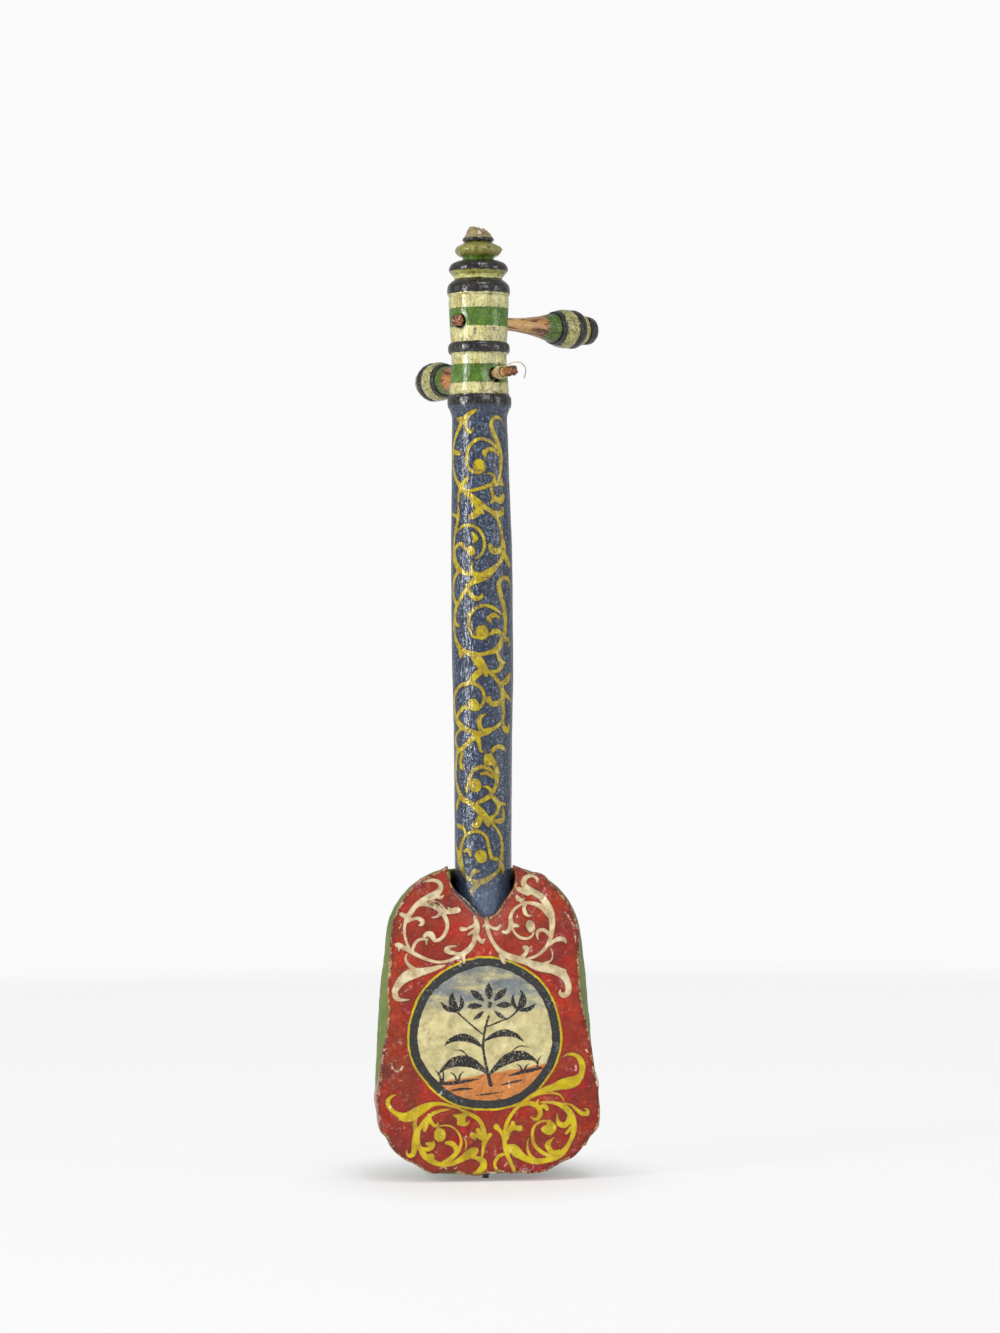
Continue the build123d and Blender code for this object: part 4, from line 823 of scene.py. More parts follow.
class Nodes:
    """A node tree that is added to by short calls; masks run from 0 to 1."""

    def __init__(self, tree):
        self.tree = tree

    def put(self, socket, value):
        if isinstance(value, bpy.types.NodeSocket):
            self.tree.links.new(value, socket)
        else:
            socket.default_value = tone(*value) if socket.type == "RGBA" else value

    def add(self, kind, inputs, **settings):
        node = self.tree.nodes.new(kind)
        for key, value in settings.items():
            setattr(node, key, value)
        for key, value in inputs.items():
            self.put(node.inputs[key], value)
        return node

    def mask(self, value):
        """A socket or a number as it is, or a ramp written as (value, from, to)."""
        return self.ramp(*value) if isinstance(value, tuple) else value

    def calc(self, kind, *values):
        """One sum on masks, by its Blender name."""
        inputs = dict(enumerate(map(self.mask, values)))
        return self.add("ShaderNodeMath", inputs, operation=kind).outputs[0]

    def chain(self, kind, values):
        """The same sum over any count of values."""
        total, *others = values
        for value in others:
            total = self.calc(kind, total, value)
        return total

    def times(self, *values):
        return self.chain("MULTIPLY", values)

    def shaken(self, value, noise, amount):
        """A value made uneven by a noise."""
        return self.calc("MULTIPLY_ADD", self.calc("SUBTRACT", noise, 0.5), amount, value)

    def ramp(self, value, low, high, at_low=0.0, at_high=1.0):
        inputs = {0: value, 1: low, 2: high, 3: at_low, 4: at_high}
        settings = {"interpolation_type": "SMOOTHSTEP", "clamp": True}
        return self.add("ShaderNodeMapRange", inputs, **settings).outputs[0]


class Coat(Nodes):
    """The nodes of one material. Lengths are in millimetres, noise scales per millimetre."""

    def __init__(self, name):
        self.material = bpy.data.materials.new(name)
        self.material.use_nodes = True
        super().__init__(self.material.node_tree)
        self.tree.nodes.clear()
        self.shader = self.add("ShaderNodeBsdfPrincipled", {})
        self.out = self.add("ShaderNodeOutputMaterial", {"Surface": self.shader.outputs[0]})
        self.out.is_active_output = True

    def mix(self, share, first, second, way="MIX"):
        node = self.add("ShaderNodeMix", {}, data_type="RGBA", blend_type=way, clamp_factor=True)
        for index, value in ((0, self.mask(share)), (6, first), (7, second)):
            self.put(node.inputs[index], value)
        return node.outputs[2]

    def laid(self, paint, *layers):
        """Paint with more laid over it in turn: (mask, how much, colour, way of mixing)."""
        for mask, share, colour, *way in layers:
            paint = self.mix(self.times(mask, share), paint, colour, *way)
        return paint

    def own(self, name, output="Fac"):
        """A number, or with "Vector" a place, that is stored on the piece."""
        return self.add("ShaderNodeAttribute", {}, attribute_name=name).outputs[output]

    def vector(self, operation, output, *values, **inputs):
        inputs = {**dict(enumerate(values)), **inputs}
        return self.add("ShaderNodeVectorMath", inputs, operation=operation).outputs[output]

    def place(self):
        """Object coordinates in millimetres."""
        here = self.add("ShaderNodeTexCoord", {}).outputs["Object"]
        return self.vector("SCALE", 0, here, Scale=1 / MM)

    def stretched(self, place, *amounts):
        return self.vector("MULTIPLY", 0, place, amounts)

    def axes(self, place):
        return self.add("ShaderNodeSeparateXYZ", {0: place}).outputs

    def noise(self, place, per_mm, detail=2.0, rough=0.5):
        inputs = {"Vector": place, "Scale": per_mm, "Detail": detail, "Roughness": rough}
        return self.add("ShaderNodeTexNoise", inputs).outputs[0]

    def spots(self, place, per_mm, feature="F1"):
        """Distance from scattered points, or from the net between them."""
        inputs = {"Vector": place, "Scale": per_mm}
        return self.add("ShaderNodeTexVoronoi", inputs, feature=feature).outputs["Distance"]

    def cracks(self, place, per_mm):
        return self.spots(place, per_mm, "DISTANCE_TO_EDGE")

    def bands(self, value, foot, head, colours):
        """Colours by height: (from which height, colour), the lowest first."""
        share = self.calc("DIVIDE", self.calc("SUBTRACT", value, foot), head - foot)
        node = self.add("ShaderNodeValToRGB", {0: share})
        stops = node.color_ramp
        stops.interpolation = "CONSTANT"
        for index, (height, colour) in enumerate(colours):
            at = max(0.0, (height - foot) / (head - foot))
            stop = stops.elements[index] if index < 2 else stops.elements.new(at)
            stop.position = at
            stop.color = tone(*colour)
        return node.outputs[0]

    def bump(self, *layers):
        """Relief from (height, depth) pairs, laid over each other."""
        total = self.chain("ADD", [self.times(height, depth) for height, depth in layers])
        node = self.add("ShaderNodeBump", {"Height": total, "Strength": 1.0, "Distance": MM})
        self.put(self.shader.inputs["Normal"], node.outputs[0])
        self.put(self.shader.inputs["Coat Normal"], node.outputs[0])

    def surface(self, colour, roughness, coat=0.0, specular=0.5, coat_roughness=0.12):
        """Sets the shader; roughness is a number, or (noise, spread, least) from a noise."""
        if isinstance(roughness, tuple):
            roughness = self.calc("MULTIPLY_ADD", *roughness)
        self.put(self.shader.inputs["Base Color"], colour)
        self.put(self.shader.inputs["Roughness"], roughness)
        self.put(self.shader.inputs["Specular IOR Level"], specular)
        self.put(self.shader.inputs["Coat Weight"], coat)
        self.put(self.shader.inputs["Coat Roughness"], coat_roughness)
        return self.material


def stick_paint():
    """Blue neck with yellow scrolls, and the banded head."""
    coat = Coat("stick paint")
    here = coat.place()
    height = coat.axes(here)[2]
    broad = coat.noise(here, 0.05, 3.0)
    middle = coat.noise(here, 0.28, 3.0)
    coarse = coat.noise(here, 0.62, 4.0, 0.68)
    fine = coat.noise(here, 1.6, 3.0, 0.65)
    streaks = coat.noise(coat.stretched(here, 1.0, 1.0, 0.12), 1.1, 4.0, 0.65)
    on_head = coat.ramp(height, HEAD_PAINT - 0.4, HEAD_PAINT + 0.4)
    on_neck = coat.times((height, NECK_PAINT - 1.0, NECK_PAINT + 1.0),
                         (height, HEAD_PAINT + 0.4, HEAD_PAINT - 0.4))
    level = coat.shaken(coat.shaken(height, middle, 1.3), fine, 0.6)
    band = coat.bands(level, 0.0, 522.0, (
        (0.0, (30, 26, 24)), (10.0, BARE_WOOD), (134.0, chosen("neck_blue")),
        (420.8, BLACK), (427.4, CREAM), (434.3, GREEN), (443.3, CREAM), (450.4, BLACK),
        (456.4, CREAM), (463.5, GREEN), (474.9, CREAM), (481.6, BLACK),
        # in the cove above the third bead, the lighter yellow below the waist and the darker olive
        # above it are painted light and shade
        (489.4, (212, 210, 128)), (491.8, (150, 150, 70)), (493.6, BLACK),
        (500.9, GREEN), (502.9, OLIVE_CREAM), (510.6, BLACK), (512.9, (152, 138, 98)),
    ))
    brushing = coat.calc("MULTIPLY_ADD", streaks, 0.55, coat.times(coarse, 0.45))
    grey = coat.add("ShaderNodeRGBToBW", {0: band}).outputs[0]
    on_rings = coat.times((grey, 0.06, 0.03), on_head)
    pocks = coat.noise(here, 0.62, 3.0, 0.6)
    whitened = coat.noise(here, 0.17, 4.0, 0.6)
    yellowed = coat.noise(here, 0.13, 4.0, 0.7)
    near_edges = coat.chain("MAXIMUM", [
        (coat.calc("ABSOLUTE", coat.calc("SUBTRACT", height, edge)), 1.5, 0.2)
        for edge in BAND_EDGES
    ])
    chips = coat.noise(coat.stretched(here, 1.0, 1.0, 0.6), 0.62, 3.0, 0.7)
    edge_chips = coat.times(near_edges, (chips, 0.54, 0.62))
    specks = coat.times((coat.spots(here, 0.40), 0.26, 0.14), on_head)
    worn = coat.laid(
        band,
        # uneven brushing: thin and thick, dirty and rubbed
        ((brushing, 0.62, 0.42), coat.calc("MULTIPLY_ADD", on_head, -0.22, 0.50),
         (70, 66, 60), "MULTIPLY"),
        # dusty black rings, worn down to the wood here and there
        (coat.times(on_rings, (streaks, 0.50, 0.72)), 0.22, (104, 102, 90)),
        (coat.times(on_rings, (coat.noise(here, 0.42, 3.0, 0.7), 0.64, 0.69)), 0.8, (120, 82, 44)),
        ((broad, 0.52, 0.70), 0.3, (235, 225, 200), "SOFT_LIGHT"),
        # blue: pale scuffs and dark pits
        (coat.times((coarse, 0.53, 0.68), on_neck), 0.60, (142, 156, 180)),
        (coat.times((pocks, 0.48, 0.36), on_neck), 0.80, (28, 34, 54)),
        # head: whitened and yellowed patches, grime, chips along the edges of the bands
        (coat.times((whitened, 0.50, 0.66), on_head), 0.8, (236, 230, 206), "SOFT_LIGHT"),
        (coat.times((yellowed, 0.50, 0.64), on_head), 0.75, (206, 186, 112), "MULTIPLY"),
        (coat.times((coarse, 0.44, 0.30), on_head), 0.65, (132, 116, 70), "MULTIPLY"),
        (edge_chips, 0.8, BROWN),
        (coat.times(specks, (middle, 0.50, 0.60)), 0.9, (56, 38, 22)),
        (coat.times((coarse, 0.60, 0.74), on_head), 0.25, (188, 178, 140)),
    )
    # yellow scrolls: olive at their edges, pitted down to the red-brown ground
    edge = coat.shaken(coat.own("scroll"), fine, 0.8)
    painted = coat.ramp(edge, 0.14, -0.10)
    rim = coat.ramp(coat.calc("ABSOLUTE", coat.calc("ADD", edge, 0.12)), 0.42, 0.06)
    pits = coat.times((coat.spots(here, 0.48), 0.30, 0.16), (coarse, 0.56, 0.44))
    yellow = coat.laid(
        chosen("scroll_yellow"),
        ((middle, 0.38, 0.62), 1.0, (178, 150, 6)),
        ((coarse, 0.55, 0.75), 0.6, (218, 204, 92)),
        (rim, 0.6, (104, 92, 16)),
        (pits, 0.85, (96, 52, 18)),
        (1.0, 0.55, (200, 198, 170), "MULTIPLY"),
    )
    # pale chips through all paint, and fine cracks and flakes, most of all at the neck's foot,
    # where the neck is also painted paler as painted light
    chipped = coat.ramp(coat.spots(here, 0.17), 0.075, 0.045)
    net = coat.cracks(coat.stretched(here, 1.0, 1.0, 0.45), 0.36)
    low = coat.ramp(height, 184.0, 160.0)
    crack = coat.times((net, 0.06, 0.01), coat.calc("MAXIMUM", (middle, 0.44, 0.60), low))
    painted_light_foot = coat.times((height, 178.0, 146.0), on_neck)
    worn = coat.laid(
        worn,
        ((edge, 1.2, 0.2), 0.8, (30, 34, 46)),
        (painted, 1.0, yellow),
        (chipped, 0.8, (222, 214, 190)),
        (crack, 0.6, (28, 26, 30)),
        (coat.times((coarse, 0.42, 0.36), low), 0.45, (44, 44, 50)),
        # painted light: the neck paler low down, where it sits in the skin's notch
        (painted_light_foot, 0.42, (112, 130, 160)),
        # painted shade, near black, in the worn mouths of the peg holes
        (coat.own("hollow"), 1.0, (20, 13, 9)),
    )
    brushed = coat.noise(coat.stretched(here, 1.0, 1.0, 0.30), 0.50, 2.0, 0.55)
    lumps = coat.noise(here, 0.30, 1.5, 0.5)
    more_on_neck = coat.calc("MULTIPLY_ADD", on_neck, 0.6, 0.4)
    coat.bump((coat.times(brushed, more_on_neck), 0.58), (coat.times(lumps, more_on_neck), 0.60),
              (fine, 0.05), (painted, 0.12), (crack, -0.10), (edge_chips, -0.20),
              (chipped, -0.12), (pits, -0.08))
    return coat.surface(worn, (coarse, 0.30, 0.22), 1.0, specular=0.08, coat_roughness=0.07)


class SkinCoat(Coat):
    """The painted skin's nodes, with the noises that its parts share."""

    def __init__(self):
        super().__init__("painted skin")
        self.here = self.place()
        self.flat = self.stretched(self.here, 1.0, 0.3, 1.0)
        self.middle = self.noise(self.flat, 0.17, 4.0, 0.6)
        self.coarse = self.noise(self.here, 0.45, 4.0, 0.65)
        self.fine = self.noise(self.here, 1.1, 3.0, 0.65)
        self.grit = self.noise(self.here, 3.0, 2.0, 0.7)
        self.across, _, self.height = self.axes(self.here)

    def red_ground(self):
        """Deeper towards the foot, with brighter patches and fine mottling."""
        broad = self.noise(self.flat, 0.028, 3.0, 0.6)
        aged = self.noise(self.flat, 0.05, 4.0, 0.65)
        ripe = self.noise(self.flat, 0.055, 4.0, 0.7)
        browned = self.noise(self.flat, 0.065, 4.0, 0.7)
        return self.laid(
            chosen("skin_red"),
            ((self.height, 95.0, 22.0), 1.0, (146, 36, 14)),
            ((broad, 0.50, 0.66), 0.65, (190, 42, 12)),
            ((self.middle, 0.54, 0.72), 0.55, (176, 82, 40)),
            ((self.middle, 0.46, 0.30), 0.55, (100, 26, 12)),
            ((self.coarse, 0.46, 0.34), 0.55, (104, 24, 10)),
            ((self.coarse, 0.56, 0.68), 0.35, (196, 92, 52)),
            ((self.fine, 0.56, 0.76), 0.34, (194, 106, 64)),
            ((self.grit, 0.44, 0.28), 0.55, (76, 18, 16)),
            ((aged, 0.47, 0.60), 0.75, (132, 26, 24)),
            ((ripe, 0.58, 0.68), 0.8, (178, 22, 10)),
            # browner to the left, and a painted pinkish sheen over the neck under the skin
            ((browned, 0.54, 0.44), (self.across, 10.0, -50.0, 0.15, 0.5), (124, 52, 20)),
            (self.own("over_neck"), (self.fine, 0.3, 0.7, 0.15, 0.6), (200, 120, 112)),
        )

    def scrolls(self, name, colour, edge_colour, thin_colour, patches):
        """Where the scrolls of one paint lie, and their colour."""
        edge = self.shaken(self.own(name), self.fine, 0.55)
        rim = self.ramp(self.calc("ABSOLUTE", self.calc("ADD", edge, 0.25)), 0.30, 0.02)
        return self.ramp(edge, 0.16, -0.10), self.laid(
            colour,
            ((self.noise(self.flat, patches, 3.0), 0.40, 0.62), 1.0, thin_colour),
            (rim, 0.6, edge_colour),
            ((self.fine, 0.42, 0.28), 0.5, thin_colour),
            ((self.grit, 0.42, 0.28), 0.35, (112, 84, 50)),
        )

    def picture(self):
        """Sky wash, cream air, ochre ground and black brushwork."""
        drawn_out = self.stretched(self.here, 0.30, 0.3, 1.0)
        clouds = self.noise(drawn_out, 0.16, 5.0, 0.68)
        dry = self.noise(drawn_out, 0.9, 3.0, 0.7)
        top = self.ramp(self.calc("MULTIPLY_ADD", clouds, 22.0, self.height), 98.0, 116.0)
        wash = self.ramp(self.calc("MULTIPLY_ADD", dry, 0.35, clouds), 0.50, 0.78)
        (left, left_height), (right, right_height) = HORIZON
        slope = (right_height - left_height) / (right - left)
        over_line = self.calc("MULTIPLY_ADD", self.across, -slope, self.height)
        over_line = self.calc("SUBTRACT", over_line, left_height - slope * left)
        over_line = self.shaken(over_line, self.middle, 2.4)
        ground = self.laid(
            (192, 112, 50),
            ((self.fine, 0.3, 0.7), 1.0, (206, 138, 74)),
            ((self.middle, 0.5, 0.7), 0.6, (176, 88, 36)),
        )
        ink_edge = self.shaken(self.own("ink"), self.noise(self.here, 1.7), 0.7)
        dry_ink = self.noise(self.stretched(self.here, 1.0, 0.3, 0.5), 1.9, 3.0, 0.7)
        return self.laid(
            (214, 202, 148),
            ((self.middle, 0.35, 0.65), 1.0, (198, 186, 134)),
            ((self.fine, 0.44, 0.30), 0.4, (160, 146, 98)),
            ((self.grit, 0.42, 0.30), 0.3, (128, 116, 80)),
            (self.times(wash, top), 0.9, (108, 120, 132)),
            ((dry, 0.56, 0.72), top, (170, 164, 140)),
            ((over_line, 0.5, -0.3), 1.0, ground),
            ((ink_edge, 0.14, -0.10), (dry_ink, 0.66, 0.58), (34, 34, 37)),
        )

    def pattern(self, cream, cream_paint, yellow, yellow_paint):
        """The round picture in its rings, the scrolls, and the neck's blue over the notch."""
        out = self.shaken(self.own("from_picture"), self.fine, 0.5)
        out = self.shaken(out, self.middle, 1.5)
        ring = self.laid(
            (40, 42, 42),
            ((self.fine, 0.45, 0.72), 0.4, (84, 86, 80)),
            ((self.grit, 0.60, 0.74), 0.5, (132, 130, 112)),
        )
        rounds = ((YELLOW_RING_R, yellow_paint), (BLACK_RING_R, ring), (PICTURE_R, self.picture()))
        beside = [self.shaken(self.own(name), self.coarse, 1.2) for name in ("cream", "yellow")]
        blue_edge = self.shaken(self.own("blue"), self.fine, 0.9)
        blue = self.mix((self.grit, 0.56, 0.72), chosen("neck_blue"), (150, 165, 200))
        return self.laid(
            self.red_ground(),
            *(((out, r + RING_SOFT, r - RING_SOFT), 1.0, paint) for r, paint in rounds),
            *(((place, 0.9, 0.1), 0.5, (84, 20, 18)) for place in beside),
            (yellow, 1.0, yellow_paint),
            (cream, 1.0, cream_paint),
            ((blue_edge, 0.75, 0.45), 1.0, (186, 142, 70)),
            ((blue_edge, 0.42, 0.22), 1.0, blue),
        )

    # where the painted sheen and painted shade of the crumpled corners lie
    def sheen_corners(self):
        here = self.stretched(self.here, 1.0, 0.0, 1.0)
        return self.chain("MAXIMUM", [
            (self.vector("DISTANCE", "Value", here, centre), reach, 0.35 * reach)
            for centre, reach in SKIN_SHEEN_SPOTS
        ])


def skin_paint():
    """Red skin with cream and yellow scrolls and a round picture."""
    coat = SkinCoat()
    cream, cream_paint = coat.scrolls("cream", chosen("scroll_cream"), (206, 160, 122),
                                      (190, 168, 126), 0.22)
    yellow, yellow_paint = coat.scrolls("yellow", chosen("scroll_yellow"), (190, 118, 48),
                                        (186, 160, 6), 0.16)
    # raw edge, darker beside it
    from_edge = coat.own("from_edge")
    darker_near_edge = coat.ramp(coat.calc("MULTIPLY_ADD", coat.middle, 3.0, from_edge), 4.2, 1.4)
    width = coat.ramp(coat.noise(coat.here, 0.055, 2.0), 0.40, 0.60, 0.1, 0.95)
    ragged = coat.shaken(from_edge, coat.coarse, 3.8)
    flaked = coat.ramp(coat.calc("SUBTRACT", ragged, width), 0.15, -0.15)
    raw = coat.laid(
        (196, 170, 116),
        ((coat.fine, 0.38, 0.62), 1.0, (128, 96, 56)),
        ((coat.grit, 0.45, 0.30), 0.7, (84, 58, 34)),
    )
    # chips, specks and cracks, and painted sheen and painted shade on the crumpled corners
    chipped = coat.calc("MAXIMUM",
                        (coat.shaken(coat.own("chip"), coat.fine, 2.2), 0.05, -0.15),
                        (coat.spots(coat.flat, 0.16), 0.06, 0.03))
    dark_specks = coat.spots(coat.stretched(coat.flat, 1.3, 1.0, 1.1), 0.13)
    crack = coat.times((coat.cracks(coat.flat, 0.36), 0.03, 0.0), (coat.middle, 0.42, 0.6))
    creased = coat.noise(coat.stretched(coat.flat, 1.0, 1.0, 0.6), 0.30, 4.0, 0.7)
    sheen_spots = coat.sheen_corners()
    sunk_shade = coat.times(sheen_spots, (creased, 0.48, 0.36))
    paint = coat.laid(
        coat.pattern(cream, cream_paint, yellow, yellow_paint),
        (darker_near_edge, 0.6, (70, 34, 24)),
        (flaked, (coat.noise(coat.here, 0.22, 3.0, 0.7), 0.44, 0.54), raw),
        (chipped, 0.85, (226, 196, 160)),
        ((dark_specks, 0.055, 0.03), 0.8, (44, 22, 20)),
        (crack, 0.4, (60, 16, 18)),
        # painted sheen on the crumpled corners' ridges, and painted shade in their creases
        (coat.times(sheen_spots, (creased, 0.48, 0.66)), 0.46, (214, 168, 164)),
        (sunk_shade, 0.7, (92, 30, 30)),
        (coat.own("inside"), 1.0, (120, 92, 60)),
    )
    lumps = coat.noise(coat.here, 0.30, 1.0, 0.5)
    waves = coat.noise(coat.flat, 0.07, 1.0, 0.5)
    beaten = coat.ramp(coat.noise(coat.flat, 0.04, 2.0), 0.44, 0.62, 0.25, 1.0)
    dents = coat.times(coat.noise(coat.flat, 0.13, 2.5, 0.5), beaten)
    coat.bump((coat.fine, 0.06), (lumps, 0.60), (dents, 4.2), (waves, 6.0), (sunk_shade, -0.5),
              (cream, 0.12), (yellow, 0.12), (crack, -0.10), (chipped, -0.16))
    return coat.surface(paint, (coat.coarse, 0.36, 0.24), 0.65, specular=0.08)


def bowl_paint():
    """Green brushed over carved wood."""
    coat = Coat("bowl paint")
    here = coat.place()
    broad = coat.noise(here, 0.05, 3.0, 0.6)
    fine = coat.noise(here, 0.8, 3.0, 0.65)
    grit = coat.noise(here, 2.8, 2.0, 0.7)
    strokes = coat.noise(coat.stretched(here, 1.0, 1.0, 0.12), 0.9, 3.0, 0.6)
    patches = coat.calc("ADD", coat.noise(here, 0.12, 4.0, 0.7), coat.times(grit, 0.12))
    worn = coat.ramp(patches, 0.70, 0.76)
    wood = coat.mix(strokes, (120, 88, 54), (78, 54, 34))
    green = coat.laid(
        chosen("bowl_green"),
        ((broad, 0.35, 0.65), 1.0, (84, 106, 26)),
        ((strokes, 0.50, 0.72), 0.5, (138, 148, 66)),
        ((fine, 0.42, 0.28), 0.6, (44, 58, 18)),
        (worn, 0.8, (196, 170, 120)),
        ((coat.spots(here, 0.22), 0.09, 0.04), 0.7, (40, 44, 30)),
        (coat.own("inside"), 1.0, wood),
    )
    coat.bump((strokes, 0.6), (fine, 0.25), (worn, -0.2))
    return coat.surface(green, (fine, 0.3, 0.35), 0.25, specular=0.15, coat_roughness=0.16)


def peg_paint(name, wood_dark, flare_green):
    """A turned peg: bare shank, green flare, cream and black handle."""
    coat = Coat(name)
    here = coat.own("lathe_place", "Vector")
    along = coat.axes(here)[2]
    grain = coat.noise(coat.stretched(here, 1.0, 1.0, 0.06), 1.1, 4.0, 0.62)
    coarse = coat.noise(here, 0.7, 4.0, 0.68)
    fine = coat.noise(here, 1.5, 3.0, 0.65)
    broad = coat.noise(here, 0.16, 3.0, 0.6)
    split = coat.ramp(coat.noise(coat.stretched(here, 1.0, 1.0, 0.025), 0.55, 2.0), 0.46, 0.41)
    fresh = coat.ramp(coat.calc("MULTIPLY_ADD", grain, 14.0, along), 48.0, 36.0)
    shade_under_coil = coat.times((along, -1.6, -2.4), (along, -9.8, -8.8))
    wood = coat.laid(
        wood_dark,
        ((grain, 0.38, 0.62), 1.0, BARE_WOOD),
        (fresh, 0.60, (208, 172, 108)),
        ((broad, 0.50, 0.62), 0.5, (154, 90, 42)),
        # dark towards the tip and in splits, and painted shade under the string's turns
        ((along, -8.0, -14.0), 0.92, (122, 66, 26)),
        (split, 0.85, (66, 32, 14)),
        (shade_under_coil, 0.9, (64, 36, 18)),
    )
    band = coat.bands(coat.shaken(along, fine, 1.3), -40.0, 90.0, (
        (-40.0, BARE_WOOD), (flare_green - 8.0, (76, 106, 30)), (54.2, BLACK),
        (58.0, PEG_CREAM), (63.0, (184, 178, 122)), (65.2, (104, 108, 48)),
        (65.9, PEG_CREAM), (66.6, BLACK), (72.5, (172, 168, 100)),
        (76.9, (48, 42, 28)), (78.4, BLACK),
    ))
    dark = coat.times((coat.spots(here, 0.40), 0.30, 0.16),
                      (coat.noise(here, 0.14, 2.0), 0.54, 0.46))
    paint = coat.laid(
        band,
        ((coarse, 0.52, 0.38), 0.75, (96, 84, 52), "MULTIPLY"),
        ((coat.noise(here, 0.22, 3.0, 0.6), 0.46, 0.60), 0.85, (232, 226, 196), "SOFT_LIGHT"),
        (dark, 0.6, (40, 32, 20)),
        ((coat.noise(here, 0.5, 4.0, 0.7), 0.46, 0.34), 0.42, (76, 64, 34)),
        ((coarse, 0.60, 0.72), 0.30, (196, 186, 142)),
    )
    painted = coat.ramp(coat.calc("MULTIPLY_ADD", grain, 10.0, along), flare_green + 4.0,
                        flare_green + 6.5)
    lumps = coat.noise(here, 0.34, 1.5, 0.5)
    coat.bump((grain, 0.22), (lumps, 0.60), (fine, 0.05), (split, -0.35), (dark, -0.10))
    return coat.surface(coat.mix(painted, wood, paint), (coarse, 0.30, 0.22), 0.9,
                        specular=0.08, coat_roughness=0.08)


def gut_finish():
    """Dry twisted gut, browner at its free end."""
    coat = Coat("gut")
    here = coat.place()
    twist = coat.noise(here, 2.4, 3.0, 0.6)
    colour = coat.laid(
        (228, 214, 160),
        ((twist, 0.35, 0.65), 1.0, (176, 148, 86)),
        ((coat.axes(here)[0], 17.0, 23.0), 0.8, (122, 106, 92)),
    )
    coat.bump((twist, 0.06))
    coat.put(coat.shader.inputs["Subsurface Weight"], 0.1)
    coat.put(coat.shader.inputs["Subsurface Scale"], 0.0004)
    return coat.surface(colour, 0.42)


# ---------------------------------------------------------------- pieces


def peg_line(peg):
    """A peg's nearest point to the head's axis, and its directions along and sideways."""
    turn = radians(peg["degrees"])
    along = Vector((cos(turn), sin(turn), 0))
    side = Vector((-sin(turn), cos(turn), 0))
    return side * -peg["offset"] + Vector((0, 0, peg["height"])), along, side


def shank_r(at, peg):
    return SHANK_R + SHANK_TAPER * (at + peg["pushed_in"] - SHANK_END)


def in_mouth(places, peg):
    """How far places are inside the worn mouths of a peg's hole, from 0 to 1."""
    origin, along, side = peg_line(peg)
    aside, up = peg["worn"]
    away = places - np.array(origin + side * aside + Vector((0, 0, up)))
    at = away @ np.array(along)
    off_axis = np.linalg.norm(away - at[:, None] * np.array(along), axis=1)
    mouth = shank_r(at, peg) + HOLE_GAP + waved(places, HOLE_WAVES)
    return np.clip((mouth - off_axis) / HOLE_SOFT + 0.5, 0, 1)


def make_stick():
    runs = TAIL_AND_SPIKE + NECK + HEAD
    steps = [SPIKE_ROW] * len(TAIL_AND_SPIKE) + [NECK_ROW] * len(NECK) + [HEAD_ROW] * len(HEAD)
    stick = turned("turned_stick", runs, steps, STICK_COLUMNS)
    places = mesh_places(stick)
    radius, outward = from_axis(places)
    height = places[:, 2].copy()
    on_neck = rise(height, WAVES_FROM, WAVES_TO) * rise(height, HEAD_FOOT, HEAD_FOOT - 6)
    on_head = rise(height, HEAD_FOOT, HEAD_FOOT + 2)
    grow = waved(places, NECK_WAVES) * on_neck + waved(places, HEAD_WAVES) * on_head
    grow -= knocked(places, STICK_KNOCKS, KNOCKS_FROM) * on_head * (radius > 6)
    # the bead's notched crown, and a knot that stands out of it
    notches = np.sin(CROWN_NOTCHES * np.arctan2(places[:, 1], places[:, 0]))
    grow += CROWN_DEPTH * hump(height - CROWN_HEIGHT, CROWN_REACH) * (radius > 7) * notches
    grow += KNOT_HEIGHT * hump(np.linalg.norm(places - BEAD_KNOT, axis=1), KNOT_REACH)
    # worn mouths of the peg holes, sunk in, with painted shade in them
    mouths = [in_mouth(places, peg) for peg in (UPPER_PEG, LOWER_PEG)]
    hollow = np.maximum(*mouths) * (radius > 10)
    grow -= HOLE_DEPTH * hollow
    places += outward * grow[:, None]
    # the broken tip of the finial
    broken = BROKEN_SLOPE * (places[:, 0] - BROKEN_EDGE) + waved(places, BROKEN_WAVES)
    places[:, 2] -= rise(height, BROKEN_FROM, BROKEN_FROM + BROKEN_OVER) * broken
    # the scrolls lie round the front half, and again as a mirror image behind
    height = places[:, 2]
    around = SCROLL_R * np.arctan2(places[:, 0], -places[:, 1])
    half_turn = SCROLL_R * pi
    behind = np.abs(around) > half_turn / 2
    around[behind] = np.sign(around[behind]) * half_turn - around[behind]
    keep_value(stick, "scroll", paint_distance(np.column_stack((around, height)), NECK_SCROLLS))
    keep_value(stick, "hollow", hollow)
    places[:, 0] += NECK_BOW * np.sin(rise(height, BOW_FROM, HEAD_FOOT) * pi)
    move_to(stick, places)
    smooth_shaded(stick)
    finish_piece(stick, "lute", "neck_paint", stick_paint(), "neck")
    return stick


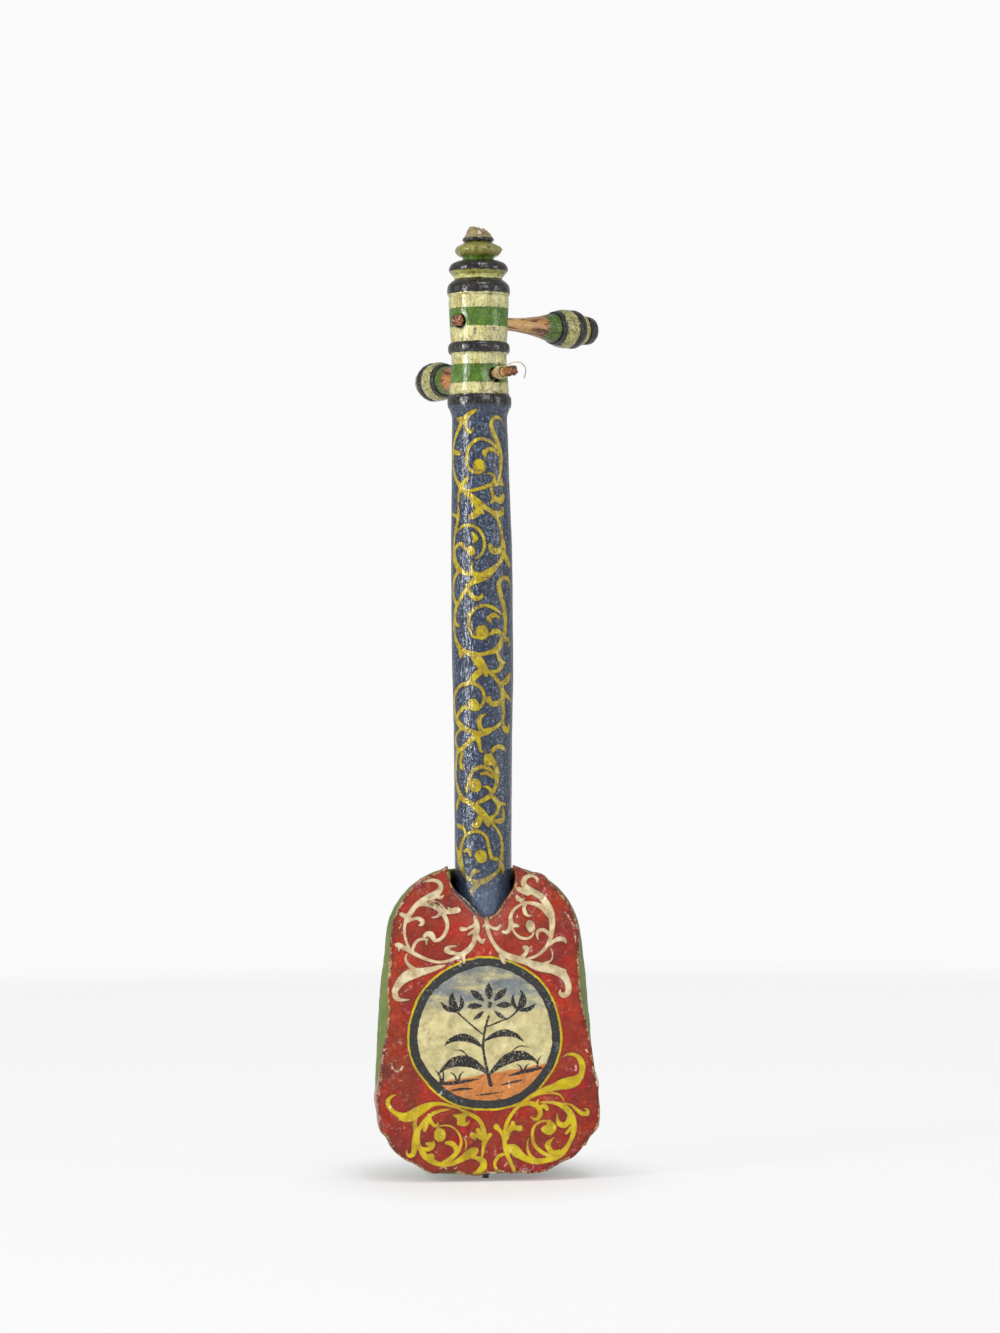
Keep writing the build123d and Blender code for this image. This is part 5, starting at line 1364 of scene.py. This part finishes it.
def make_bowl():
    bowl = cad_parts["bowl"].copy()
    bowl.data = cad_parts["bowl"].data.copy()
    bowl.name = "carved_bowl"
    bowl.parent = None
    for key in list(bowl.keys()):
        del bowl[key]
    bpy.context.collection.objects.link(bowl)
    start_editing(bowl)
    bpy.ops.mesh.remove_doubles(threshold=WELD_BOWL * MM)
    stop_editing()
    remesh = bowl.modifiers.new("carving", "REMESH")
    remesh.mode = "VOXEL"
    remesh.voxel_size = CARVE_VOXEL * MM
    bpy.ops.object.modifier_apply(modifier=remesh.name)
    places = mesh_places(bowl)
    normals = np.empty(len(places) * 3, np.float32)
    bowl.data.vertex_normals.foreach_get("vector", normals)
    normals = normals.reshape(-1, 3).astype(float)
    inward = np.sum(normals * (places - BOWL_MIDDLE) * (1, 1, 0.6), axis=1) < 0
    behind = rise(places[:, 1], CARVE_FROM, CARVE_TO)
    places += normals * (waved(places, CARVE_WAVES) * behind * ~inward)[:, None]
    move_to(bowl, places)
    keep_value(bowl, "inside", inward.astype(float))
    smooth_shaded(bowl, 180)
    finish_piece(bowl, "lute", "bowl_paint", bowl_paint(), "bowl")
    return bowl


def free_edge_depth(height):
    """How far back the skin is turned over the bowl, by height: long round the foot."""
    share = rise(height, 78, 40)
    return SKIRT_TOP + share * share * (3 - 2 * share) * SKIRT_MORE


def face_front(spots):
    """How far forward the painted face stands at each (across, up) place."""
    across, height = spots[:, 0], spots[:, 1]
    swell = FACE_SWELL * rise(height, SWELL_FROM, SWELL_TO)
    swell *= hump(across - OVER_NECK, SWELL_REACH)
    for depth, length, seed in FACE_WAVES:
        swell += depth * ripple(spots, length, seed)
    swell -= FOLD_DEPTH * hump(paint_distance(spots, (FOLD_CHIP,)) + FOLD_OFF, FOLD_REACH)
    return SKIN_FRONT - swell


def short_pieces(loop):
    """A closed outline as short brush strokes, for measuring distances to it."""
    closed = np.vstack((loop, loop[:1]))
    rows = np.column_stack((closed, np.zeros(len(closed))))
    return [rows[start:start + 9] for start in range(0, len(loop), 8)]


def inside_outline(spots, loop):
    """Which places lie inside a closed outline."""
    inside = np.zeros(len(spots), bool)
    for (x1, z1), (x2, z2) in zip(loop, np.roll(loop, -1, axis=0)):
        if z1 == z2:
            continue
        crosses = (spots[:, 1] > min(z1, z2)) & (spots[:, 1] <= max(z1, z2))
        at = x1 + (spots[:, 1] - z1) * (x2 - x1) / (z2 - z1)
        inside ^= crosses & (spots[:, 0] < at)
    return inside


def evened(values, times):
    """A run of values round a closed loop, smoothed."""
    for _ in range(times):
        values = (np.roll(values, 1, axis=0) + values + np.roll(values, -1, axis=0)) / 3
    return values


def upright(spots, depth):
    """(across, up) places stood up at a depth, or each at its own."""
    return np.column_stack((spots[:, 0], np.broadcast_to(depth, len(spots)), spots[:, 1]))


def netted(outline, inner):
    """A flat net inside an outline over these inner places: all its places, and its faces."""
    spots = [Vector(spot) for spot in np.vstack((outline, inner))]
    count = len(outline)
    ring = [(i, (i + 1) % count) for i in range(count)]
    net = delaunay_2d_cdt(spots, ring, [list(range(count))], 1, 1e-5)
    return np.array([tuple(spot) for spot in net[0]]), net[2]


def skin_outline():
    """The free edge, the line where the face turns over, the way in, and the edge's depth."""
    runs = (SKIN_TOP_LEFT, SKIN_LEFT, SKIN_FOOT, SKIN_RIGHT, SKIN_TOP_RIGHT)
    edge = np.vstack([smooth_run(run, SKIN_STEP)[:-1] for run in runs])
    edge = evenly(np.vstack((edge, edge[:1])), SKIN_LOOP)[:-1]
    along = np.roll(edge, -2, axis=0) - np.roll(edge, 2, axis=0)
    inwards = np.column_stack((-along[:, 1], along[:, 0]))
    inwards = evened(inwards / np.linalg.norm(inwards, axis=1)[:, None], 4)
    back = free_edge_depth(edge[:, 1])
    notch = ((np.abs(edge[:, 0]) < NOTCH_HALF) & (edge[:, 1] > NOTCH_FOOT)).astype(float)
    back += evened(notch, 8) * (SKIN_BACK + 0.05 - back)
    turn_in = TURN_IN + TURN_IN_MORE * np.clip((back - SKIN_FRONT - 3) / 16, 0, 1)
    return edge, edge + inwards * turn_in[:, None], inwards, back


def face_grid(turn):
    """Places of an even triangle net inside the line where the face turns over."""
    low, high = turn.min(0), turn.max(0)
    columns = np.arange(low[0], high[0], SKIN_NET)
    rows = np.arange(low[1], high[1], SKIN_NET * sqrt(3) / 2)
    across, height = np.meshgrid(columns, rows)
    across[::2] += SKIN_NET / 2
    grid = np.column_stack((across.ravel(), height.ravel()))
    to_turn = paint_distance(grid, short_pieces(turn))
    return grid[inside_outline(grid, turn) & (to_turn > NET_CLEAR * SKIN_NET)]


def skin_rings(edge, turn, inwards, back):
    """From the turn over the bowl's edge in a quarter round to the free edge, and back inside."""
    front = face_front(turn)
    wave = waved(np.column_stack((edge, back)), SKIRT_WAVES) * rise(back, -10, -2)
    rings = []
    for step in range(1, SKIN_TURN_ROWS + 1):
        angle = step / SKIN_TURN_ROWS * pi / 2
        ring = turn + (edge - turn) * sin(angle)
        ring -= inwards * (wave * (step / SKIN_TURN_ROWS))[:, None]
        rings.append(upright(ring, front + (back - front) * (1 - cos(angle))))
    rings.append(upright(edge + inwards * SKIN_THICK, back))
    rings.append(upright(turn + inwards * SKIN_THICK, SKIN_BACK))
    return rings


def add_ring(piece, last, ring):
    """Extrudes the open edge of a piece, whose places are last, to the places of a ring.

    Gives back which place of the ring each new vertex has.
    """
    start_editing(piece, choose=None)
    bpy.ops.mesh.extrude_edges_move()
    stop_editing()
    places = mesh_places(piece)
    new = places[-len(last):]
    order = np.empty(len(last), int)
    order[np.lexsort(np.round(new, 3).T)] = np.lexsort(np.round(last, 3).T)
    places[-len(last):] = ring[order]
    move_to(piece, places)
    return order


def sew_back(skin, turn, grid, last):
    """Closes the skin behind with a coarser net between the last ring's places."""
    coarse = grid[::SKIN_BACK_SHARE]
    coarse = coarse[paint_distance(coarse, short_pieces(turn)) > 2 * SKIN_THICK]
    spots, faces = netted(turn, coarse)
    rear = upright(spots, SKIN_BACK)
    rear[:len(turn)] = last
    lining = add_mesh("skin_back", rear, [], faces)
    select_only(skin)
    lining.select_set(True)
    bpy.ops.object.join()
    start_editing(skin)
    bpy.ops.mesh.remove_doubles(threshold=WELD_SKIN * MM)
    bpy.ops.mesh.normals_make_consistent(inside=False)
    stop_editing()


def make_skin():
    edge, turn, inwards, back = skin_outline()
    grid = face_grid(turn)
    face, faces = netted(turn, grid)
    skin = add_mesh("painted_skin", upright(face, SKIN_FRONT), [], faces)
    move_to(skin, upright(face, face_front(face)))
    start_editing(skin, choose=None)
    bpy.ops.mesh.select_mode(type="EDGE")
    bpy.ops.mesh.select_all(action="DESELECT")
    bpy.ops.mesh.select_non_manifold()
    stop_editing()
    last = upright(turn, face_front(turn))
    orders = []
    for ring in skin_rings(edge, turn, inwards, back):
        orders.append(add_ring(skin, last, ring))
        last = ring
    sew_back(skin, turn, grid, last)
    # distance to the free edge along the skin, and what is inside
    places = mesh_places(skin)
    spots = places[:, (0, 2)]
    edge_run = np.linalg.norm(edge - turn, axis=1) + SKIRT_PAINT * (back - SKIN_FRONT)
    from_edge = paint_distance(spots, short_pieces(turn))
    inside = np.zeros(len(places))
    start = len(face)
    for step, order in enumerate(orders):
        left = 1 - (step + 1) / SKIN_TURN_ROWS
        here = slice(start, start + len(order))
        from_edge[here] = min(max(0, left), 1 - max(0, left)) * edge_run[order]
        inside[here] = float(left < 0)
        start += len(order)
    inside[start:] = 1
    # the paint is measured flat, as seen from the front
    for name, strokes in (("cream", CREAM_SCROLLS), ("yellow", YELLOW_SCROLLS),
                          ("blue", BLUE_OVER_EDGE), ("chip", SKIN_CHIPS), ("ink", PICTURE_INK)):
        keep_value(skin, name, paint_distance(spots, strokes))
    away = spots - PICTURE_CENTRE
    turn_round = np.arctan2(away[:, 1], away[:, 0])
    wobble = sum(depth * np.sin(times * turn_round + turned_by)
                 for depth, times, turned_by in RING_WOBBLE)
    keep_value(skin, "from_picture", np.hypot(*away.T) + wobble)
    keep_value(skin, "from_edge", from_edge)
    keep_value(skin, "inside", inside)
    # where a painted sheen lies over the neck under the skin
    over_neck = hump(spots[:, 0] - OVER_NECK, SHEEN_REACH)
    keep_value(skin, "over_neck", over_neck * rise(spots[:, 1], SHEEN_FROM, SHEEN_TO))
    smooth_shaded(skin, 50)
    finish_piece(skin, "lute", "painted_skin", skin_paint(), "skin_face")
    return skin


def make_peg(name, peg, handle, body, material):
    """A turned peg, pushed through its holes in the head; its node has its body's name."""
    shift = peg["pushed_in"]
    runs = []
    for run in handle:
        rows = [(r, at - shift) for r, at in run if at - shift >= SHANK_END]
        if len(rows) < len(run):
            rows.insert(0, (shank_r(SHANK_END, peg), SHANK_END))
        runs.append(tuple(rows))
    tip = peg["tip"]
    tip_r = shank_r(-tip, peg)
    wide = tip_r + peg["spread"]
    shank = (
        ((0, -tip), (wide - 0.6, -tip)),
        ((wide - 0.6, -tip), (wide, -tip + 0.4), (tip_r, -tip + 1.8)),
        ((tip_r, -tip + 1.8), runs[0][0]),
    )
    runs = (*shank, *runs)
    piece = turned(name, runs, [PEG_ROW] * len(runs), PEG_COLUMNS)
    places = mesh_places(piece)
    places[:, 0] *= 1 + peg["oval"] * np.clip(1.6 - tip - places[:, 2], 0, 1)
    at = places[:, 2]
    grow = waved(places, PEG_WAVES, peg["seed"])
    grow -= knocked(places, PEG_KNOCKS, PEG_KNOCKS_FROM, peg["seed"]) * (at > PEG_KNOCKED_FROM)
    grow *= np.abs(at) > PEG_CARVED_FROM
    battered = np.clip((peg["battered"] - tip - at) / 1.5, 0, 1)
    grow += battered * waved(places, BATTER_WAVES)
    shape = places + from_axis(places)[1] * grow[:, None]
    shape[:, 2] += battered * waved(places, BATTER_END_WAVES) * (at < 1.5 - tip)
    origin, along, side = (np.array(line) for line in peg_line(peg))
    keep_value(piece, "lathe_place", places + (0, 0, shift))
    move_to(piece, origin + shape[:, :1] * side + shape[:, 1:2] * (0, 0, 1) + shape[:, 2:] * along)
    start_editing(piece)
    bpy.ops.mesh.normals_make_consistent(inside=False)
    stop_editing()
    smooth_shaded(piece)
    finish_piece(piece, body, "peg_wood", material, body)
    return piece


def make_string():
    origin, along, side = peg_line(LOWER_PEG)

    def on_peg(towards_tip, sideways, up):
        return origin - along * towards_tip + side * sideways + Vector((0, 0, up))

    turns = (COIL_FROM - COIL_TO) / COIL_STEP
    count = round(turns * TURN_POINTS)
    route = []
    for step in range(count, -1, -1):
        share = step / count
        at = COIL_FROM - share * (COIL_FROM - COIL_TO)
        at += COIL_WANDER[0] * sin(share * COIL_WANDER[1])
        angle = pi / 2 + share * turns * tau
        r = shank_r(-at, LOWER_PEG) + STRING_OFF
        r += STRING_R * (1 + COIL_SLACK[0] * sin(share * COIL_SLACK[1]))
        route.append(on_peg(at, r * cos(angle), r * sin(angle)))
    route.extend(on_peg(*point) for point in FREE_END)
    curve = bpy.data.curves.new("gut_string", "CURVE")
    curve.dimensions = "3D"
    curve.bevel_depth = STRING_R * MM
    curve.bevel_resolution = STRING_ROUND
    curve.use_fill_caps = True
    curve.resolution_u = STRING_ROUND
    spline = curve.splines.new("NURBS")
    spline.points.add(len(route) - 1)
    for point, place in zip(spline.points, route):
        point.co = (*(place * MM), 1.0)
    spline.order_u = 3
    spline.use_endpoint_u = True
    string = add_object("gut_string", curve)
    finish_piece(string, "lower_peg", "gut", gut_finish(), "string_coil", "string_end")
    return string


# ---------------------------------------------------------------- stage and light


def floor_paint():
    """Plain white that runs into the white behind it and keeps the lute's soft shadow."""
    coat = Coat("floor white")
    coat.surface((251, 251, 251), 0.9, specular=0.0)
    ray = coat.add("ShaderNodeLightPath", {}).outputs
    away = coat.vector("LENGTH", "Value", coat.place())
    bare = coat.calc("MAXIMUM", (away, *FOOT_FADE, FLOOR_UNDER, FLOOR_NEAR), (away, *FLOOR_FADE))
    seen = coat.calc("MAXIMUM", ray["Is Glossy Ray"], ray["Is Transmission Ray"])
    share = coat.calc("MAXIMUM", coat.times(ray["Is Camera Ray"], bare),
                      coat.times(seen, FLOOR_IN_GLOSS))
    white = coat.add("ShaderNodeEmission", {"Color": WHITE, "Strength": STUDIO_WHITE})
    blend = coat.add("ShaderNodeMixShader",
                     {0: share, 1: coat.shader.outputs[0], 2: white.outputs[0]})
    coat.put(coat.out.inputs["Surface"], blend.outputs[0])
    return coat.material


def make_floor():
    bpy.ops.mesh.primitive_plane_add(size=STAGE_SIZE, location=(0, 0, 0))
    floor = bpy.context.object
    floor.name = floor.data.name = "floor"
    floor.data.materials.append(floor_paint())
    return floor


def make_lamp(name, setting, place, aim_height, width, height):
    data = bpy.data.lights.new(name, "AREA")
    data.shape = "RECTANGLE"
    data.size = width
    data.size_y = height
    data.energy = getattr(bpy.context.scene.lute_lights, setting)
    lamp = add_object(name, data)
    lamp.location = place
    towards = Vector((0, 0, aim_height)) - Vector(place)
    lamp.rotation_euler = towards.to_track_quat("-Z", "Y").to_euler()
    return lamp


def make_room():
    """A room that is white to the eye, and dimmer as light and in glossy paint."""
    world = bpy.data.worlds.new("studio")
    world.use_nodes = True
    room = Nodes(world.node_tree)
    ray = room.add("ShaderNodeLightPath", {}).outputs
    seen = room.calc("MAXIMUM", ray["Is Camera Ray"],
                     room.times(ray["Is Glossy Ray"], ROOM_IN_GLOSS))
    level = room.add("ShaderNodeMapRange", {
        "Value": seen, "To Min": bpy.context.scene.lute_lights.room_light,
        "To Max": STUDIO_WHITE,
    })
    background = world.node_tree.nodes["Background"]
    room.put(background.inputs["Color"], WHITE)
    room.put(background.inputs["Strength"], level.outputs[0])
    bpy.context.scene.world = world
    bpy.context.scene.view_settings.view_transform = "Standard"


def make_camera():
    turn, roll = radians(EYE_TURN), radians(EYE_ROLL)
    ahead = Vector((sin(turn), cos(turn), 0))
    right = Vector((cos(turn), -sin(turn), 0))
    up = Vector((0, 0, 1))
    data = bpy.data.cameras.new("eye")
    data.sensor_fit = "VERTICAL"
    data.sensor_height = FILM_HEIGHT
    data.lens = LENS
    eye = add_object("eye", data)
    rolled_right = right * cos(roll) - up * sin(roll)
    rolled_up = up * cos(roll) + right * sin(roll)
    eye.matrix_world = Matrix((rolled_right, rolled_up, -ahead)).transposed().to_4x4()
    eye.location = right * AIM_ASIDE + up * AIM_HEIGHT - ahead * EYE_DISTANCE
    bpy.context.scene.camera = eye
    return eye


# ---------------------------------------------------------------- settings, operators, panel


def colour_setting(name, description, colour):
    return bpy.props.FloatVectorProperty(
        name=name, description=description, default=colour, size=4, min=0, max=1,
        subtype="COLOR",
    )


def power_setting(name, description, watts):
    return bpy.props.FloatProperty(
        name=name, description=description, default=watts, unit="POWER",
    )


class LuteColours(bpy.types.PropertyGroup):
    """Paint colours."""

    neck_blue: colour_setting("Neck blue", "Ground of the neck", tone(51, 67, 92))
    scroll_yellow: colour_setting("Scroll yellow", "Scrolls on neck and face", tone(204, 184, 18))
    scroll_cream: colour_setting("Scroll cream", "Pale scrolls on the face", tone(220, 206, 166))
    skin_red: colour_setting("Skin red", "Ground of the painted face", tone(158, 44, 14))
    bowl_green: colour_setting("Bowl green", "Paint on the bowl", tone(104, 124, 36))
    wood_light: colour_setting("Light peg wood", "Shank of the upper peg", tone(182, 128, 74))
    wood_dark: colour_setting("Dark peg wood", "Shank of the lower peg", tone(158, 84, 40))


class LuteLights(bpy.types.PropertyGroup):
    """Strengths of the lamps and of the white room."""

    left_power: power_setting("Left softbox", "Tall soft light on the left", 33.0)
    right_power: power_setting("Right fill", "Weak soft light on the right", 11.0)
    front_power: power_setting("Front fill", "Broad soft light above the camera", 13.0)
    top_power: power_setting("Top", "Soft light from above", 8.0)
    room_light: bpy.props.FloatProperty(
        name="Room light", description="Strength of the white room", default=0.2, min=0.0,
    )


class LUTE_OT_stick(bpy.types.Operator):
    """Turn the neck stick and its head"""

    bl_idname = "lute.stick"
    bl_label = "Turned stick"

    def execute(self, context):
        make_stick()
        return {"FINISHED"}


class LUTE_OT_bowl(bpy.types.Operator):
    """Carve and paint the bowl"""

    bl_idname = "lute.bowl"
    bl_label = "Carved bowl"

    def execute(self, context):
        make_bowl()
        return {"FINISHED"}


class LUTE_OT_skin(bpy.types.Operator):
    """Stretch and paint the skin"""

    bl_idname = "lute.skin"
    bl_label = "Painted skin"

    def execute(self, context):
        make_skin()
        return {"FINISHED"}


class LUTE_OT_pegs(bpy.types.Operator):
    """Turn both tuning pegs"""

    bl_idname = "lute.pegs"
    bl_label = "Tuning pegs"

    def execute(self, context):
        upper = peg_paint("upper peg paint", chosen("wood_light"), 46.0)
        lower = peg_paint("lower peg paint", chosen("wood_dark"), 49.5)
        make_peg("upper_turned_peg", UPPER_PEG, PEG_HANDLE + LONG_KNOB, "upper_peg", upper)
        make_peg("lower_turned_peg", LOWER_PEG, PEG_HANDLE + SHORT_KNOB, "lower_peg", lower)
        return {"FINISHED"}


class LUTE_OT_string(bpy.types.Operator):
    """Wind the string's remnant round the lower peg"""

    bl_idname = "lute.string"
    bl_label = "Gut string"

    def execute(self, context):
        make_string()
        return {"FINISHED"}


class LUTE_OT_stage(bpy.types.Operator):
    """Set the floor, the lamps and the camera"""

    bl_idname = "lute.stage"
    bl_label = "Stage and light"

    def execute(self, context):
        make_floor()
        for lamp in LAMPS:
            make_lamp(*lamp)
        make_room()
        make_camera()
        return {"FINISHED"}


OPERATORS = (LUTE_OT_stick, LUTE_OT_bowl, LUTE_OT_skin, LUTE_OT_pegs, LUTE_OT_string, LUTE_OT_stage)


class LUTE_PT_panel(bpy.types.Panel):
    """Lists the lute's pieces and settings"""

    bl_idname = "LUTE_PT_panel"
    bl_label = "Painted spike lute"
    bl_space_type = "VIEW_3D"
    bl_region_type = "UI"
    bl_category = "Lute"

    def draw(self, context):
        column = self.layout.column(align=True)
        for operator in OPERATORS:
            column.operator(operator.bl_idname)
        for settings in (context.scene.lute_colours, context.scene.lute_lights):
            for name in type(settings).__annotations__:
                self.layout.prop(settings, name)


CLASSES = (LuteColours, LuteLights, *OPERATORS, LUTE_PT_panel)


def register():
    for cls in CLASSES:
        bpy.utils.register_class(cls)
    bpy.types.Scene.lute_colours = bpy.props.PointerProperty(type=LuteColours)
    bpy.types.Scene.lute_lights = bpy.props.PointerProperty(type=LuteLights)


def unregister():
    del bpy.types.Scene.lute_lights
    del bpy.types.Scene.lute_colours
    for cls in reversed(CLASSES):
        bpy.utils.unregister_class(cls)


def main():
    register()
    bpy.ops.lute.stick()
    bpy.ops.lute.bowl()
    bpy.ops.lute.skin()
    bpy.ops.lute.pegs()
    bpy.ops.lute.string()
    bpy.ops.lute.stage()


if __name__ == "__main__":
    main()
